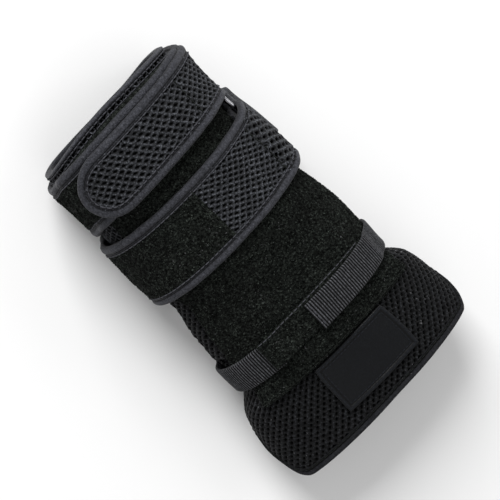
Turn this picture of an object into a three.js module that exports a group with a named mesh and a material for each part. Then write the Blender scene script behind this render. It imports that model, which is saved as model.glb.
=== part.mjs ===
import * as THREE from 'three';

// Bowling glove for the right hand, lying palm side down.
// X runs from the cuff end to the knuckle end, and +Z is the back of the glove.
// +Y is the ring side, where strap 2 folds round its ring.
// -Y is the tip side, where strap 1 ends in a round tip.

// Driving dimensions in millimetres
const LENGTH = 188;          // rim of the cuff to the knuckle edge, along the back
const CUFF_WIDTH = 67;       // hollow of the cuff near its rim
const WRIST_WIDTH = 71;      // hollow at the wrist
const HAND_WIDTH = 79;       // hollow under the webbing
const KNUCKLE_WIDTH = 105;   // hollow at the knuckle end
const CUFF_HEIGHT = 47;
const WRIST_HEIGHT = 43;
const HAND_HEIGHT = 35;
const KNUCKLE_HEIGHT = 31;
const CUFF_SHIFT = 4;        // the cuff sits this far towards the tip side of the hand band

const PAD = 3.2;             // padded mesh of the cuff, back pad and hand band
const PANEL = 2;             // loop-fabric panel
const STRAP = 2.2;           // thickness of a strap ply
const WEBBING = 1.4;
const BRIDGE = 1.4;          // loop-fabric piece between the webbing's ends
const LABEL = 0.8;
const CLEAR = 0.3;           // gap between pieces that lie on each other
const LAYER_GAP = 0.45;      // gap between the two plies at the rim

const FLARE_START = 0.739 * LENGTH;         // the hand band widens from here, past the webbing
const BAND_START = FLARE_START - 17.5;      // wrist-side edge of the hand band
const PALM_END = FLARE_START + 18.5;        // knuckle edge of the hand band on the palm side
const RIM_DROP = 9.5;        // the rim is this much shorter on the palm side
const RIM_SLANT = 4;         // and this much more on the tip side
const RIM_BINDING = 2.8;
const KNUCKLE_BINDING = 4.4;
const KNUCKLE_DROP = 0.42;   // the knuckle edge leaves the palm this far below the sides, as a sine
const KNUCKLE_RAMP = 0.9;    // and reaches the back over this much more
const BINDING_PROUD = 0.35;  // edge tape stands this much above the pad

const PANEL_START = 4.8;     // from the rim
const PANEL_END = FLARE_START + 11.5;
const PANEL_SLANT = 2;       // the panel and the label reach this much further on the ring side
const STRAP_BINDING = 5;     // edge tape of the straps
const STRAP_BINDING_PROUD = 0.25;
const BASE_WIDTH = 29.5;
const BASE_SETBACK = 5.7;    // from the rim, on the back
const STRAP_1_WIDTH = 28.8;
const STRAP_1_SHIFT = 2.5;   // the middle of strap 1 lies this far from the base strap's
const STRAP_2_WIDTH = 35.8;
const STRAP_GAP = 9.6;       // between the two straps, on the back
const CUFF_SETBACK = 3.2;    // the cuff ends this far under strap 2
const WEBBING_WIDTH = 14.4;
const WEBBING_SETBACK = 0.5; // from the start of the flare
const BRIDGE_WIDTH = 14.6;
const LABEL_LENGTH = 43;     // across the hand
const LABEL_WIDTH = 26.4;
const LABEL_SHIFT = 2;       // towards the ring side
const LABEL_GAP = 0.6;       // between the panel's edge and the label

const WIRE = 2.1;            // ring wire
const RING_SPACING = 11.5;   // between the ring's two long bars
const RING_REACH = 6.6;      // the ring shows this far beside strap 2, towards the rim
const RING_MARGIN = 0.7;     // and has this much room at the strap's other side
const TAB = 2.6;             // thickness of the ring tab
const TAB_WIDTH = 31;
const TAB_RETURN = 15;       // outer ply of the ring tab
const TAB_SLANT = 3;         // the tab's palm end lies this much nearer the knuckle end
const TAB_SWELL = 2.6;       // the outer ply of the tab stands this much away from its fold
const RETURN_PLY = 6;        // folded end of strap 2 under the ring's bar
const SETTLE = 16;           // strap 2 comes down to its seat over this length past the folded end
const BUTT = 0.7;            // gap between a padded piece and the tape along its edge

// Sections along the glove. at is a share of LENGTH, shift a share of CUFF_SHIFT.
const SECTIONS = [
  { at: 0.000, width: 0.95 * CUFF_WIDTH, height: 1.00 * CUFF_HEIGHT, shift: 0.40, rest: STRAP },
  { at: 0.100, width: 1.00 * CUFF_WIDTH, height: 1.00 * CUFF_HEIGHT, shift: 0.85, rest: STRAP },
  { at: 0.225, width: 1.01 * CUFF_WIDTH, height: 0.97 * CUFF_HEIGHT, shift: 0.75, rest: STRAP },
  { at: 0.320, width: 1.00 * WRIST_WIDTH, height: 1.02 * WRIST_HEIGHT, shift: 0.55, rest: STRAP },
  { at: 0.420, width: 1.01 * WRIST_WIDTH, height: 1.00 * WRIST_HEIGHT, shift: 0.35, rest: STRAP },
  { at: 0.480, width: 1.03 * WRIST_WIDTH, height: 0.96 * WRIST_HEIGHT, shift: 0.05, rest: STRAP },
  { at: 0.570, width: 1.00 * HAND_WIDTH, height: 1.07 * HAND_HEIGHT, shift: 0.00, rest: WEBBING },
  { at: 0.737, width: 1.00 * HAND_WIDTH, height: 1.00 * HAND_HEIGHT, shift: 0.00, rest: WEBBING },
  { at: 0.800, width: 0.92 * KNUCKLE_WIDTH, height: 1.05 * KNUCKLE_HEIGHT, shift: 0.00, rest: WEBBING },
  { at: 0.890, width: 0.99 * KNUCKLE_WIDTH, height: 1.00 * KNUCKLE_HEIGHT, shift: 0.00, rest: WEBBING },
  { at: 1.000, width: 1.00 * KNUCKLE_WIDTH, height: 0.97 * KNUCKLE_HEIGHT, shift: 0.00, rest: WEBBING },
];
const SIDE_SHARE = 0.42;     // height of the widest line, as a share of the hollow's height
const BOTTOM_FULLNESS = 1.42;   // the underside is cut flat from a curve this much deeper
const TOP_POWER = 2.2;
const BOTTOM_POWER = 2.6;
const SOFT_EDGE = 5;         // rounding of the edge of the flat underside

// Side edges of the back panel, as angles round the section
const PANEL_EDGES = [
  { at: 0.000, start: 34, end: 140 },
  { at: 0.100, start: 27, end: 148 },
  { at: 0.245, start: 27, end: 148 },
  { at: 0.390, start: 27, end: 172 },
  { at: 0.444, start: 27, end: 176 },
  { at: 0.480, start: 12, end: 176 },
  { at: 0.530, start: 6, end: 176 },
  { at: 0.737, start: 6, end: 176 },
  { at: 0.800, start: 32, end: 150 },
];

// Middle lines of the straps, turn in degrees round the section
const BASE_MIDDLE = BASE_SETBACK + BASE_WIDTH / 2;
const BASE_LINE = [
  { turn: -80, middle: BASE_MIDDLE + 0.24 * BASE_WIDTH },
  { turn: 0, middle: BASE_MIDDLE + 0.12 * BASE_WIDTH },
  { turn: 30, middle: BASE_MIDDLE + 0.01 * BASE_WIDTH },
  { turn: 90, middle: BASE_MIDDLE },
  { turn: 150, middle: BASE_MIDDLE + 0.13 * BASE_WIDTH },
  { turn: 185, middle: BASE_MIDDLE + 0.29 * BASE_WIDTH },
  { turn: 262, middle: BASE_MIDDLE + 0.32 * BASE_WIDTH },
];
const STRAP_1_MIDDLE = BASE_MIDDLE + STRAP_1_SHIFT;
const STRAP_1_LINE = [
  { turn: -30, middle: STRAP_1_MIDDLE + 0.03 * STRAP_1_WIDTH },
  { turn: 10, middle: STRAP_1_MIDDLE - 0.02 * STRAP_1_WIDTH },
  { turn: 40, middle: STRAP_1_MIDDLE - 0.02 * STRAP_1_WIDTH },
  { turn: 90, middle: STRAP_1_MIDDLE },
  { turn: 130, middle: STRAP_1_MIDDLE + 0.06 * STRAP_1_WIDTH },
  { turn: 150, middle: STRAP_1_MIDDLE + 0.12 * STRAP_1_WIDTH },
];
const STRAP_2_MIDDLE = STRAP_1_MIDDLE + STRAP_1_WIDTH / 2 + STRAP_GAP + STRAP_2_WIDTH / 2;
const STRAP_2_LINE = [
  { turn: 10, middle: STRAP_2_MIDDLE - 0.09 * STRAP_2_WIDTH },
  { turn: 45, middle: STRAP_2_MIDDLE - 0.02 * STRAP_2_WIDTH },
  { turn: 90, middle: STRAP_2_MIDDLE },
  { turn: 262, middle: STRAP_2_MIDDLE + 0.01 * STRAP_2_WIDTH },
];
const CUFF_END = STRAP_2_MIDDLE + STRAP_2_WIDTH / 2 - CUFF_SETBACK;
const WEBBING_MIDDLE = FLARE_START - WEBBING_SETBACK - WEBBING_WIDTH / 2;
const WEBBING_LINE = [
  { turn: -240, middle: WEBBING_MIDDLE - 0.04 * WEBBING_WIDTH },
  { turn: -90, middle: WEBBING_MIDDLE },
  { turn: 45, middle: WEBBING_MIDDLE + 0.05 * WEBBING_WIDTH },
  { turn: 90, middle: WEBBING_MIDDLE },
];
const BRIDGE_LINE = [
  { turn: 40, middle: WEBBING_MIDDLE - 0.01 * WEBBING_WIDTH },
  { turn: 80, middle: WEBBING_MIDDLE - 0.12 * WEBBING_WIDTH },
  { turn: 130, middle: WEBBING_MIDDLE - 0.12 * WEBBING_WIDTH },
];

// Places round the section, in degrees from the ring side
const RING_TURN = 15;        // upper bar of the ring
const STRAP_1_START = -30;
const STRAP_1_TIP = 143;
const SEAM_TURN = 93;        // where strap 2 changes from mesh to loop fabric
const STRAP_END = 262;       // end of strap 2 and of the base strap on the palm side
const BASE_START = -80;      // other end of the base strap on the palm side
const TAB_START = -80;       // palm end of the ring tab
const WEBBING_FREE_END = 93;
const WEBBING_SEWN_END = -240;
const BRIDGE_START = 44;
const BRIDGE_END = 127;
const BACK_PAD_START = 8;
const BACK_PAD_END = 174;

// A strap climbs onto the panel over these angles beside the panel's edge
const SEAT_REACH = 15;
const SEAT_RAMP = 13;

// Facets
const ROUND_STEPS = 44;
const PANEL_STEPS = 20;
const STATION_STEP = 8;
const FLARE_STEP = 4;
const FLARE_ROWS = 3;
const SQUARE_FROM = 17;     // rows of the pads are square to the glove from here to the flare
const PATH_STEP = 5;
const SAMPLE_STEP = 0.4;
const SHORTEST_STEP = 0.8;  // rows of a ply closer to its ends than this are left out
const UNROLL_STEP = 2;
const UNROLL_RANGE = [-270, 300];
const START_ROOM = 2;       // rows of the pads closer to their slanted edges than this are left out
const END_ROOM = 1;
const WIRE_SIDES = 6;
const FOLD_STEPS = 6;
const TIP_STEPS = 5;
const TAB_ROWS = 4;
const TIP_ANGLE = 0.93 * Math.PI / 2;   // the core of strap 1 ends in a short straight edge here
const CORNER_STEPS = 3;
const BAR_STEPS = 4;
const TAPE_ROUND = 0.9;

const radians = THREE.MathUtils.degToRad;

function smooth(t) {
  const c = Math.min(1, Math.max(0, t));
  return c * c * (3 - 2 * c);
}

// Smooth interpolation of one column of a table whose key column rises
function lookUp(table, key, column, value) {
  let i = 0;
  while (i < table.length - 2 && value > table[i + 1][key]) i += 1;
  const a = table[i];
  const b = table[i + 1];
  const before = table[Math.max(0, i - 1)];
  const after = table[Math.min(table.length - 1, i + 2)];
  const span = b[key] - a[key];
  const slope = (b[column] - a[column]) / span;
  const slopeIn = before === a ? slope : (b[column] - before[column]) / (b[key] - before[key]);
  const slopeOut = after === b ? slope : (after[column] - a[column]) / (after[key] - a[key]);
  const flatIn = slope * slopeIn <= 0 ? 0 : limitSlope(slopeIn, slope);
  const flatOut = slope * slopeOut <= 0 ? 0 : limitSlope(slopeOut, slope);
  const t = Math.min(1, Math.max(0, (value - a[key]) / span));
  const rise = b[column] - a[column];
  const h10 = t * (1 - t) * (1 - t);
  const h11 = t * t * (t - 1);
  return a[column] + rise * t * t * (3 - 2 * t) + span * (flatIn * h10 + flatOut * h11);
}

function limitSlope(wanted, chord) {
  return Math.sign(chord) * Math.min(Math.abs(wanted), 3 * Math.abs(chord));
}

function section(x) {
  const at = x / LENGTH;
  const width = lookUp(SECTIONS, 'at', 'width', at);
  const height = lookUp(SECTIONS, 'at', 'height', at);
  const rest = lookUp(SECTIONS, 'at', 'rest', at);
  const middle = -CUFF_SHIFT * lookUp(SECTIONS, 'at', 'shift', at);
  const floor = PAD + CLEAR + rest;
  return { half: width / 2, middle, floor, side: floor + SIDE_SHARE * height, height };
}

// Point on the glove at x, turn degrees round it and off outward from the hollow's surface
function surface(x, turn, off) {
  const s = section(x);
  const c = Math.cos(radians(turn));
  const n = Math.sin(radians(turn));
  const power = n >= 0 ? TOP_POWER : BOTTOM_POWER;
  const y = s.middle + (s.half + off) * Math.sign(c) * Math.abs(c) ** (2 / power);
  const rise = Math.abs(n) ** (2 / power);
  if (n >= 0) {
    return new THREE.Vector3(x, y, s.side + ((1 - SIDE_SHARE) * s.height + off) * rise);
  }
  const depth = BOTTOM_FULLNESS * SIDE_SHARE * s.height + off;
  return new THREE.Vector3(x, y, softMax(s.side - depth * rise, s.floor - off, SOFT_EDGE));
}

// The larger of two heights, rounded where they meet
function softMax(a, b, width) {
  const share = Math.min(1, Math.max(0, (1 + (a - b) / width) / 2));
  return a * share + b * (1 - share) + width * share * (1 - share);
}

// Edges of the padded pieces
function rimEdge(turn) {
  const slant = Math.max(0, -Math.cos(radians(turn))) ** 2;
  return RIM_DROP * (1 - Math.sin(radians(turn))) / 2 + RIM_SLANT * slant;
}

function knuckleEdge(turn) {
  const back = smooth((Math.sin(radians(turn)) + KNUCKLE_DROP) / KNUCKLE_RAMP);
  return PALM_END + (LENGTH - PALM_END) * back;
}

function panelEdge(side, x) {
  return lookUp(PANEL_EDGES, 'at', side, x / LENGTH);
}

// Offset on which a strap lies: on the panel where there is one, otherwise on the pad
function seat(x, turn) {
  const around = THREE.MathUtils.euclideanModulo(turn + 90, 360) - 90;
  const fromStart = around - panelEdge('start', x) + SEAT_REACH;
  const fromEnd = panelEdge('end', x) + SEAT_REACH - around;
  const rise = smooth(fromStart / SEAT_RAMP) * smooth(fromEnd / SEAT_RAMP);
  return PAD + CLEAR + (PANEL + CLEAR) * rise;
}

// Closed geometry from two faces of a sheet: at(i, j, face) with face 0 inside and 1 outside
function sheet(rows, columns, at, closed = false) {
  const positions = [];
  const stride = closed ? columns : columns + 1;
  for (let face = 0; face < 2; face += 1) {
    for (let i = 0; i <= rows; i += 1) {
      for (let j = 0; j < stride; j += 1) {
        const p = at(i / rows, j / columns, face);
        positions.push(p.x, p.y, p.z);
      }
    }
  }
  const faceSize = (rows + 1) * stride;
  const index = (i, j, face) => face * faceSize + i * stride + (j % stride);
  const triangles = [];
  const apart = (a, b) => Math.hypot(...[0, 1, 2].map((k) => positions[3 * a + k] - positions[3 * b + k]));
  const quad = (a, b, c, d) => {
    if (apart(a, c) <= apart(b, d)) triangles.push(a, b, c, a, c, d);
    else triangles.push(a, b, d, b, c, d);
  };
  for (let i = 0; i < rows; i += 1) {
    for (let j = 0; j < columns; j += 1) {
      quad(index(i, j, 1), index(i, j + 1, 1), index(i + 1, j + 1, 1), index(i + 1, j, 1));
      quad(index(i, j, 0), index(i + 1, j, 0), index(i + 1, j + 1, 0), index(i, j + 1, 0));
    }
  }
  for (let j = 0; j < columns; j += 1) {
    quad(index(0, j, 0), index(0, j + 1, 0), index(0, j + 1, 1), index(0, j, 1));
    quad(index(rows, j, 0), index(rows, j, 1), index(rows, j + 1, 1), index(rows, j + 1, 0));
  }
  if (!closed) {
    for (let i = 0; i < rows; i += 1) {
      quad(index(i, 0, 0), index(i, 0, 1), index(i + 1, 0, 1), index(i + 1, 0, 0));
      quad(index(i, columns, 0), index(i + 1, columns, 0), index(i + 1, columns, 1), index(i, columns, 1));
    }
  }
  return solid(positions, triangles);
}

// Closed geometry swept through rings of points, joined end to end or capped
function sweep(rings, closed) {
  const sides = rings[0].length;
  const positions = rings.flat().flatMap((p) => [p.x, p.y, p.z]);
  const triangles = [];
  const spans = closed ? rings.length : rings.length - 1;
  for (let i = 0; i < spans; i += 1) {
    const next = (i + 1) % rings.length;
    for (let j = 0; j < sides; j += 1) {
      const k = (j + 1) % sides;
      triangles.push(i * sides + j, i * sides + k, next * sides + k);
      triangles.push(i * sides + j, next * sides + k, next * sides + j);
    }
  }
  if (!closed) {
    const last = (rings.length - 1) * sides;
    for (let j = 1; j < sides - 1; j += 1) {
      triangles.push(0, j + 1, j);
      triangles.push(last, last + j, last + j + 1);
    }
  }
  return solid(positions, triangles);
}

// Indexed geometry with its faces turned outward
function solid(positions, triangles) {
  const corner = (k) => new THREE.Vector3().fromArray(positions, 3 * triangles[k]);
  let volume = 0;
  for (let k = 0; k < triangles.length; k += 3) {
    volume += corner(k).dot(corner(k + 1).cross(corner(k + 2)));
  }
  if (volume < 0) {
    for (let k = 0; k < triangles.length; k += 3) {
      [triangles[k], triangles[k + 1]] = [triangles[k + 1], triangles[k]];
    }
  }
  const geometry = new THREE.BufferGeometry();
  geometry.setAttribute('position', new THREE.Float32BufferAttribute(positions, 3));
  geometry.setIndex(triangles);
  geometry.computeVertexNormals();
  return geometry;
}

// Conversion between degrees and millimetres round the section at one x
function unroll(x) {
  const table = [];
  let travelled = 0;
  let last = null;
  for (let turn = UNROLL_RANGE[0]; turn <= UNROLL_RANGE[1]; turn += UNROLL_STEP) {
    const p = surface(x, turn, PAD);
    if (last) travelled += p.distanceTo(last);
    last = p;
    table.push({ turn, arc: travelled });
  }
  const read = (from, to, value) => {
    let i = 0;
    while (i < table.length - 2 && value > table[i + 1][from]) i += 1;
    const a = table[i];
    const b = table[i + 1];
    return a[to] + (b[to] - a[to]) * (value - a[from]) / (b[from] - a[from]);
  };
  return {
    arcAt: (turn) => read('turn', 'arc', turn),
    turnAt: (arc) => read('arc', 'turn', arc),
  };
}

// A ply that follows a line of { arc, off } round the section. place(s, q, h) gives the point
// s along it, q across it towards the knuckle end and h above its middle.
function ply(round, line, lineTable) {
  const lengths = [0];
  for (let i = 1; i < line.length; i += 1) {
    const step = Math.hypot(line[i].arc - line[i - 1].arc, line[i].off - line[i - 1].off);
    lengths.push(lengths[i - 1] + step);
  }
  const rising = [...lineTable].sort((a, b) => a.turn - b.turn);
  const middleAt = (turn) => {
    const first = rising[0].turn;
    const lastTurn = rising[rising.length - 1].turn;
    const held = Math.min(lastTurn, Math.max(first, turn));
    return lookUp(rising, 'turn', 'middle', held);
  };
  const length = lengths[lengths.length - 1];
  const sample = (s) => {
    let i = 0;
    while (i < line.length - 2 && s > lengths[i + 1]) i += 1;
    const t = (s - lengths[i]) / (lengths[i + 1] - lengths[i]);
    return {
      arc: line[i].arc + t * (line[i + 1].arc - line[i].arc),
      off: line[i].off + t * (line[i + 1].off - line[i].off),
    };
  };
  const place = (s, q, h) => {
    const p = sample(s);
    const before = sample(Math.max(0, s - SAMPLE_STEP));
    const after = sample(Math.min(length, s + SAMPLE_STEP));
    const run = Math.hypot(after.arc - before.arc, after.off - before.off);
    const normal = { arc: -(after.off - before.off) / run, off: (after.arc - before.arc) / run };
    const turn = round.turnAt(p.arc + h * normal.arc);
    const x = middleAt(turn) + q;
    return surface(x, turn, p.off + h * normal.off);
  };
  return { length, place, stops: lengths };
}

// Line of a ply that lies round the section, as points of { arc, off }
function lying(round, from, to, offAt) {
  const steps = Math.max(2, Math.round(Math.abs(round.arcAt(to) - round.arcAt(from)) / PATH_STEP));
  const line = [];
  for (let i = 0; i <= steps; i += 1) {
    const turn = from + (to - from) * i / steps;
    line.push({ arc: round.arcAt(turn), off: offAt(turn) });
  }
  return line;
}

// Half circle of a fold round a bar: side +1 folds on the palm side of the bar, -1 on its other side
function fold(bar, radius, side) {
  const line = [];
  for (let i = 0; i <= FOLD_STEPS; i += 1) {
    const angle = Math.PI * (i / FOLD_STEPS - 0.5);
    line.push({
      arc: bar.arc - side * radius * Math.cos(angle),
      off: bar.off + radius * Math.sin(angle),
    });
  }
  return line;
}

// Distances along a ply's line at which it has a row of points
function stopsBetween(band, from, to) {
  const between = (s) => s > from + SHORTEST_STEP && s < to - SHORTEST_STEP;
  return [from, ...band.stops.filter(between), to];
}

// Flat ply between two distances along its line, with its sides at q = -half and +half
function plySheet(band, from, to, half, thickness, columns = 2) {
  const stops = stopsBetween(band, from, to);
  return sheet(stops.length - 1, columns, (a, b, face) => {
    const s = stops[Math.round(a * (stops.length - 1))];
    return band.place(s, half * (2 * b - 1), thickness * (face - 0.5));
  });
}

// Edge tape along points of { s, q, ds, dq }, where ds, dq is the way out of the ply
function tape(band, points, closed = false) {
  const half = STRAP_BINDING / 2;
  const low = -STRAP / 2;
  const high = STRAP / 2 + STRAP_BINDING_PROUD;
  const profile = [
    { out: -half, h: low },
    { out: half - TAPE_ROUND / 2, h: low },
    { out: half, h: high - TAPE_ROUND },
    { out: half - TAPE_ROUND, h: high },
    { out: -half, h: high },
  ];
  const rings = points.map((p) => profile.map(({ out, h }) => (
    band.place(p.s + out * p.ds, p.q + out * p.dq, h)
  )));
  return sweep(rings, closed);
}

function straightTape(band, from, to, q) {
  return stopsBetween(band, from, to).map((s) => ({ s, q, ds: 0, dq: Math.sign(q) }));
}

const group = new THREE.Group();

const FINISHES = {
  mesh: { color: 0x34353a, roughness: 0.9 },
  tape: { color: 0x4a4b50, roughness: 0.75 },
  loop: { color: 0x1f2022, roughness: 1 },
  webbing: { color: 0x3c3d42, roughness: 0.8 },
  ring: { color: 0x18181a, roughness: 0.25, metalness: 0.9 },
  label: { color: 0x35363c, roughness: 0.6 },
};

function add(name, geometry, finish) {
  const mesh = new THREE.Mesh(geometry, new THREE.MeshStandardMaterial(FINISHES[finish]));
  mesh.name = name;
  group.add(mesh);
}

// Rows of a padded piece, each a function of the turn. All pieces share the square rows.
function rowsBetween(startAt, endAt) {
  const count = Math.round((FLARE_START - SQUARE_FROM) / STATION_STEP);
  const stations = [];
  for (let i = 0; i <= count; i += 1) {
    stations.push(SQUARE_FROM + (FLARE_START - SQUARE_FROM) * i / count);
  }
  for (let i = 1; i <= FLARE_ROWS; i += 1) stations.push(FLARE_START + i * FLARE_STEP);
  stations.push(STRAP_2_LINE[0].middle + STRAP_2_WIDTH / 2 + CLEAR);
  stations.sort((a, b) => a - b);
  const turns = [-90, 0, 90, 180];
  const start = Math.max(...turns.map(startAt));
  const end = Math.min(...turns.map(endAt));
  const square = stations.filter((x) => x > start + START_ROOM && x < end - END_ROOM);
  const last = square[square.length - 1];
  const rows = [startAt];
  if (startAt(90) !== startAt(-90)) rows.push((turn) => (startAt(turn) + square[0]) / 2);
  rows.push(...square.map((x) => () => x));
  const steps = Math.max(1, Math.round((endAt(90) - last) / STATION_STEP));
  for (let i = 1; i <= steps; i += 1) {
    rows.push((turn) => last + (endAt(turn) - last) * i / steps);
  }
  return rows;
}

function tube(startAt, endAt) {
  const rows = rowsBetween(startAt, endAt);
  return sheet(rows.length - 1, ROUND_STEPS, (a, b, face) => {
    const turn = 360 * b;
    return surface(rows[Math.round(a * (rows.length - 1))](turn), turn, face * PAD);
  }, true);
}

function edgeTape(edgeAt, width, direction) {
  const rings = [];
  for (let j = 0; j < ROUND_STEPS; j += 1) {
    const turn = 360 * j / ROUND_STEPS;
    const edge = edgeAt(turn);
    const inner = edge + direction * width;
    const proud = PAD + BINDING_PROUD;
    rings.push([
      surface(inner, turn, 0),
      surface(edge + direction * TAPE_ROUND / 2, turn, 0),
      surface(edge, turn, proud - TAPE_ROUND),
      surface(edge + direction * TAPE_ROUND, turn, proud),
      surface(inner, turn, proud),
    ]);
  }
  return sweep(rings, true);
}

function addPads() {
  const cuffStart = (turn) => rimEdge(turn) + RIM_BINDING + BUTT;
  add('cuff', tube(cuffStart, () => CUFF_END), 'mesh');
  add('cuff_binding', edgeTape(rimEdge, RIM_BINDING, 1), 'tape');

  const bandEnd = (turn) => knuckleEdge(turn) - KNUCKLE_BINDING - BUTT;
  add('hand_band', tube(() => BAND_START, bandEnd), 'mesh');
  add('knuckle_binding', edgeTape(knuckleEdge, KNUCKLE_BINDING, -1), 'tape');

  const rows = rowsBetween(() => CUFF_END + CLEAR, () => BAND_START - CLEAR);
  const backPad = sheet(rows.length - 1, ROUND_STEPS / 2, (a, b, face) => {
    const turn = BACK_PAD_START + b * (BACK_PAD_END - BACK_PAD_START);
    return surface(rows[Math.round(a * (rows.length - 1))](turn), turn, face * PAD);
  });
  add('back_pad', backPad, 'mesh');
}

// Loop-fabric panel, which lies on all three padded pieces
function addPanel() {
  const low = PAD + CLEAR;
  const rows = rowsBetween((turn) => PANEL_START + rimEdge(turn), () => PANEL_END);
  const panel = sheet(rows.length - 1, PANEL_STEPS, (a, b, face) => {
    const row = rows[Math.round(a * (rows.length - 1))];
    const middle = row(90);
    const start = panelEdge('start', middle);
    const turn = start + b * (panelEdge('end', middle) - start);
    const towardsEnd = smooth((middle - FLARE_START) / (PANEL_END - FLARE_START));
    const slant = PANEL_SLANT * Math.cos(radians(turn)) * towardsEnd;
    return surface(row(turn) + slant, turn, low + face * PANEL);
  });
  add('back_panel', panel, 'loop');
}

function addLabel() {
  const start = PANEL_END + LABEL_GAP;
  const round = unroll(start + LABEL_WIDTH / 2);
  const middle = round.arcAt(90) - LABEL_SHIFT;
  const label = sheet(3, 10, (a, b, face) => {
    const turn = round.turnAt(middle + LABEL_LENGTH * (b - 0.5));
    const slant = PANEL_SLANT * Math.cos(radians(turn));
    return surface(start + slant + a * LABEL_WIDTH, turn, PAD + CLEAR + face * LABEL);
  });
  add('label_patch', label, 'label');
}

// Place of the ring that strap 2 folds round
function ringFrame() {
  const strapMiddle = STRAP_2_LINE[0].middle;
  const fromX = strapMiddle - STRAP_2_WIDTH / 2 - RING_REACH;
  const toX = strapMiddle + STRAP_2_WIDTH / 2 + RING_MARGIN + WIRE;
  const round = unroll(strapMiddle);
  const under = Math.max(TAB, STRAP_BINDING_PROUD + STRAP);
  const off = PAD + CLEAR + under + CLEAR + WIRE / 2;
  const upper = { arc: round.arcAt(RING_TURN), off };
  const lower = { arc: upper.arc - RING_SPACING, off };
  return { round, upper, lower, fromX, toX, strapMiddle };
}

function addRing() {
  const { round, upper, lower, fromX, toX } = ringFrame();
  const radius = WIRE / 2;
  const corner = WIRE;
  const middleX = (fromX + toX) / 2;
  const middleArc = (upper.arc + lower.arc) / 2;
  const halfX = (toX - fromX) / 2 - radius;
  const halfArc = (upper.arc - lower.arc) / 2;
  const centres = [];
  const quarter = (dx, da, start) => {
    for (let i = 0; i <= CORNER_STEPS; i += 1) {
      const angle = start + Math.PI / 2 * i / CORNER_STEPS;
      const nx = Math.cos(angle);
      const na = Math.sin(angle);
      centres.push({ dx: dx + corner * nx, da: da + corner * na, nx, na });
    }
  };
  const bar = (side) => {
    for (let i = 1; i < BAR_STEPS; i += 1) {
      const dx = (halfX - corner) * (1 - 2 * i / BAR_STEPS);
      centres.push({ dx: side * dx, da: side * halfArc, nx: 0, na: side });
    }
  };
  quarter(halfX - corner, halfArc - corner, 0);
  bar(1);
  quarter(corner - halfX, halfArc - corner, Math.PI / 2);
  quarter(corner - halfX, corner - halfArc, Math.PI);
  bar(-1);
  quarter(halfX - corner, corner - halfArc, 3 * Math.PI / 2);
  const rings = centres.map((c) => {
    const ring = [];
    for (let k = 0; k < WIRE_SIDES; k += 1) {
      const angle = 2 * Math.PI * k / WIRE_SIDES;
      const out = radius * Math.cos(angle);
      const turn = round.turnAt(middleArc + c.da + out * c.na);
      ring.push(surface(middleX + c.dx + out * c.nx, turn, upper.off + radius * Math.sin(angle)));
    }
    return ring;
  });
  add('ring', sweep(rings, true), 'ring');
}

function addRingTab() {
  const { round, lower, fromX } = ringFrame();
  const radius = WIRE / 2 + CLEAR + TAB / 2;
  const seatOff = PAD + CLEAR + TAB / 2;
  const lift = (turn) => {
    const before = (lower.arc - round.arcAt(turn)) / SETTLE;
    return seatOff + (lower.off - radius - seatOff) * (1 - smooth(before));
  };
  const inner = lying(round, TAB_START, round.turnAt(lower.arc), lift);
  inner.pop();
  const outer = [];
  for (let i = 1; i <= TAB_ROWS; i += 1) {
    const off = lower.off + radius + TAB_SWELL * smooth(i / 2);
    outer.push({ arc: lower.arc - TAB_RETURN * i / TAB_ROWS, off });
  }
  const middle = fromX + WIRE + RING_MARGIN + TAB_WIDTH / 2;
  const line = [...inner, ...fold(lower, radius, -1), ...outer];
  const band = ply(round, line, [{ turn: -90, middle: middle + TAB_SLANT }, { turn: 0, middle }]);
  add('ring_tab', plySheet(band, 0, band.length, TAB_WIDTH / 2, TAB), 'loop');
}

function addBase() {
  const x = BASE_MIDDLE;
  const round = unroll(x);
  const line = lying(round, BASE_START, STRAP_END, (turn) => seat(x, turn) + STRAP / 2);
  const band = ply(round, line, BASE_LINE);
  const edge = BASE_WIDTH / 2 - STRAP_BINDING / 2;
  const inside = BASE_WIDTH / 2 - STRAP_BINDING - CLEAR;
  const full = [0, band.length];
  add('base_strap', plySheet(band, ...full, inside, STRAP), 'loop');
  add('base_strap_rim_binding', tape(band, straightTape(band, ...full, -edge)), 'tape');
  add('base_strap_hand_binding', tape(band, straightTape(band, ...full, edge)), 'tape');
}

// Mesh strap over the base strap, with a round tip
function addStrap1() {
  const x = STRAP_1_MIDDLE;
  const round = unroll(x);
  const overBase = STRAP + STRAP_BINDING_PROUD + LAYER_GAP + STRAP / 2;
  const line = lying(round, STRAP_1_START, STRAP_1_TIP, (turn) => seat(x, turn) + overBase);
  const band = ply(round, line, STRAP_1_LINE);
  const half = STRAP_1_WIDTH / 2;
  const inside = half - STRAP_BINDING - CLEAR;
  const edge = half - STRAP_BINDING / 2;
  const tipAt = band.length - half;
  const stops = stopsBetween(band, 0, tipAt);
  const rows = stops.length - 1 + TIP_STEPS;
  const core = sheet(rows, 4, (a, b, face) => {
    const i = Math.round(a * rows);
    const angle = Math.max(0, i - stops.length + 1) / TIP_STEPS * TIP_ANGLE;
    const s = i < stops.length ? stops[i] : tipAt + inside * Math.sin(angle);
    return band.place(s, inside * Math.cos(angle) * (2 * b - 1), STRAP * (face - 0.5));
  });
  add('strap_1', core, 'mesh');

  const points = stops.map((s) => ({ s, q: edge, ds: 0, dq: 1 }));
  for (let i = 1; i < 2 * TIP_STEPS; i += 1) {
    const angle = Math.PI / 2 * (1 - i / TIP_STEPS);
    const ds = Math.cos(angle);
    const dq = Math.sin(angle);
    points.push({ s: tipAt + edge * ds, q: edge * dq, ds, dq });
  }
  points.push(...stops.slice().reverse().map((s) => ({ s, q: -edge, ds: 0, dq: -1 })));
  add('strap_1_binding', tape(band, points), 'tape');
}

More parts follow.
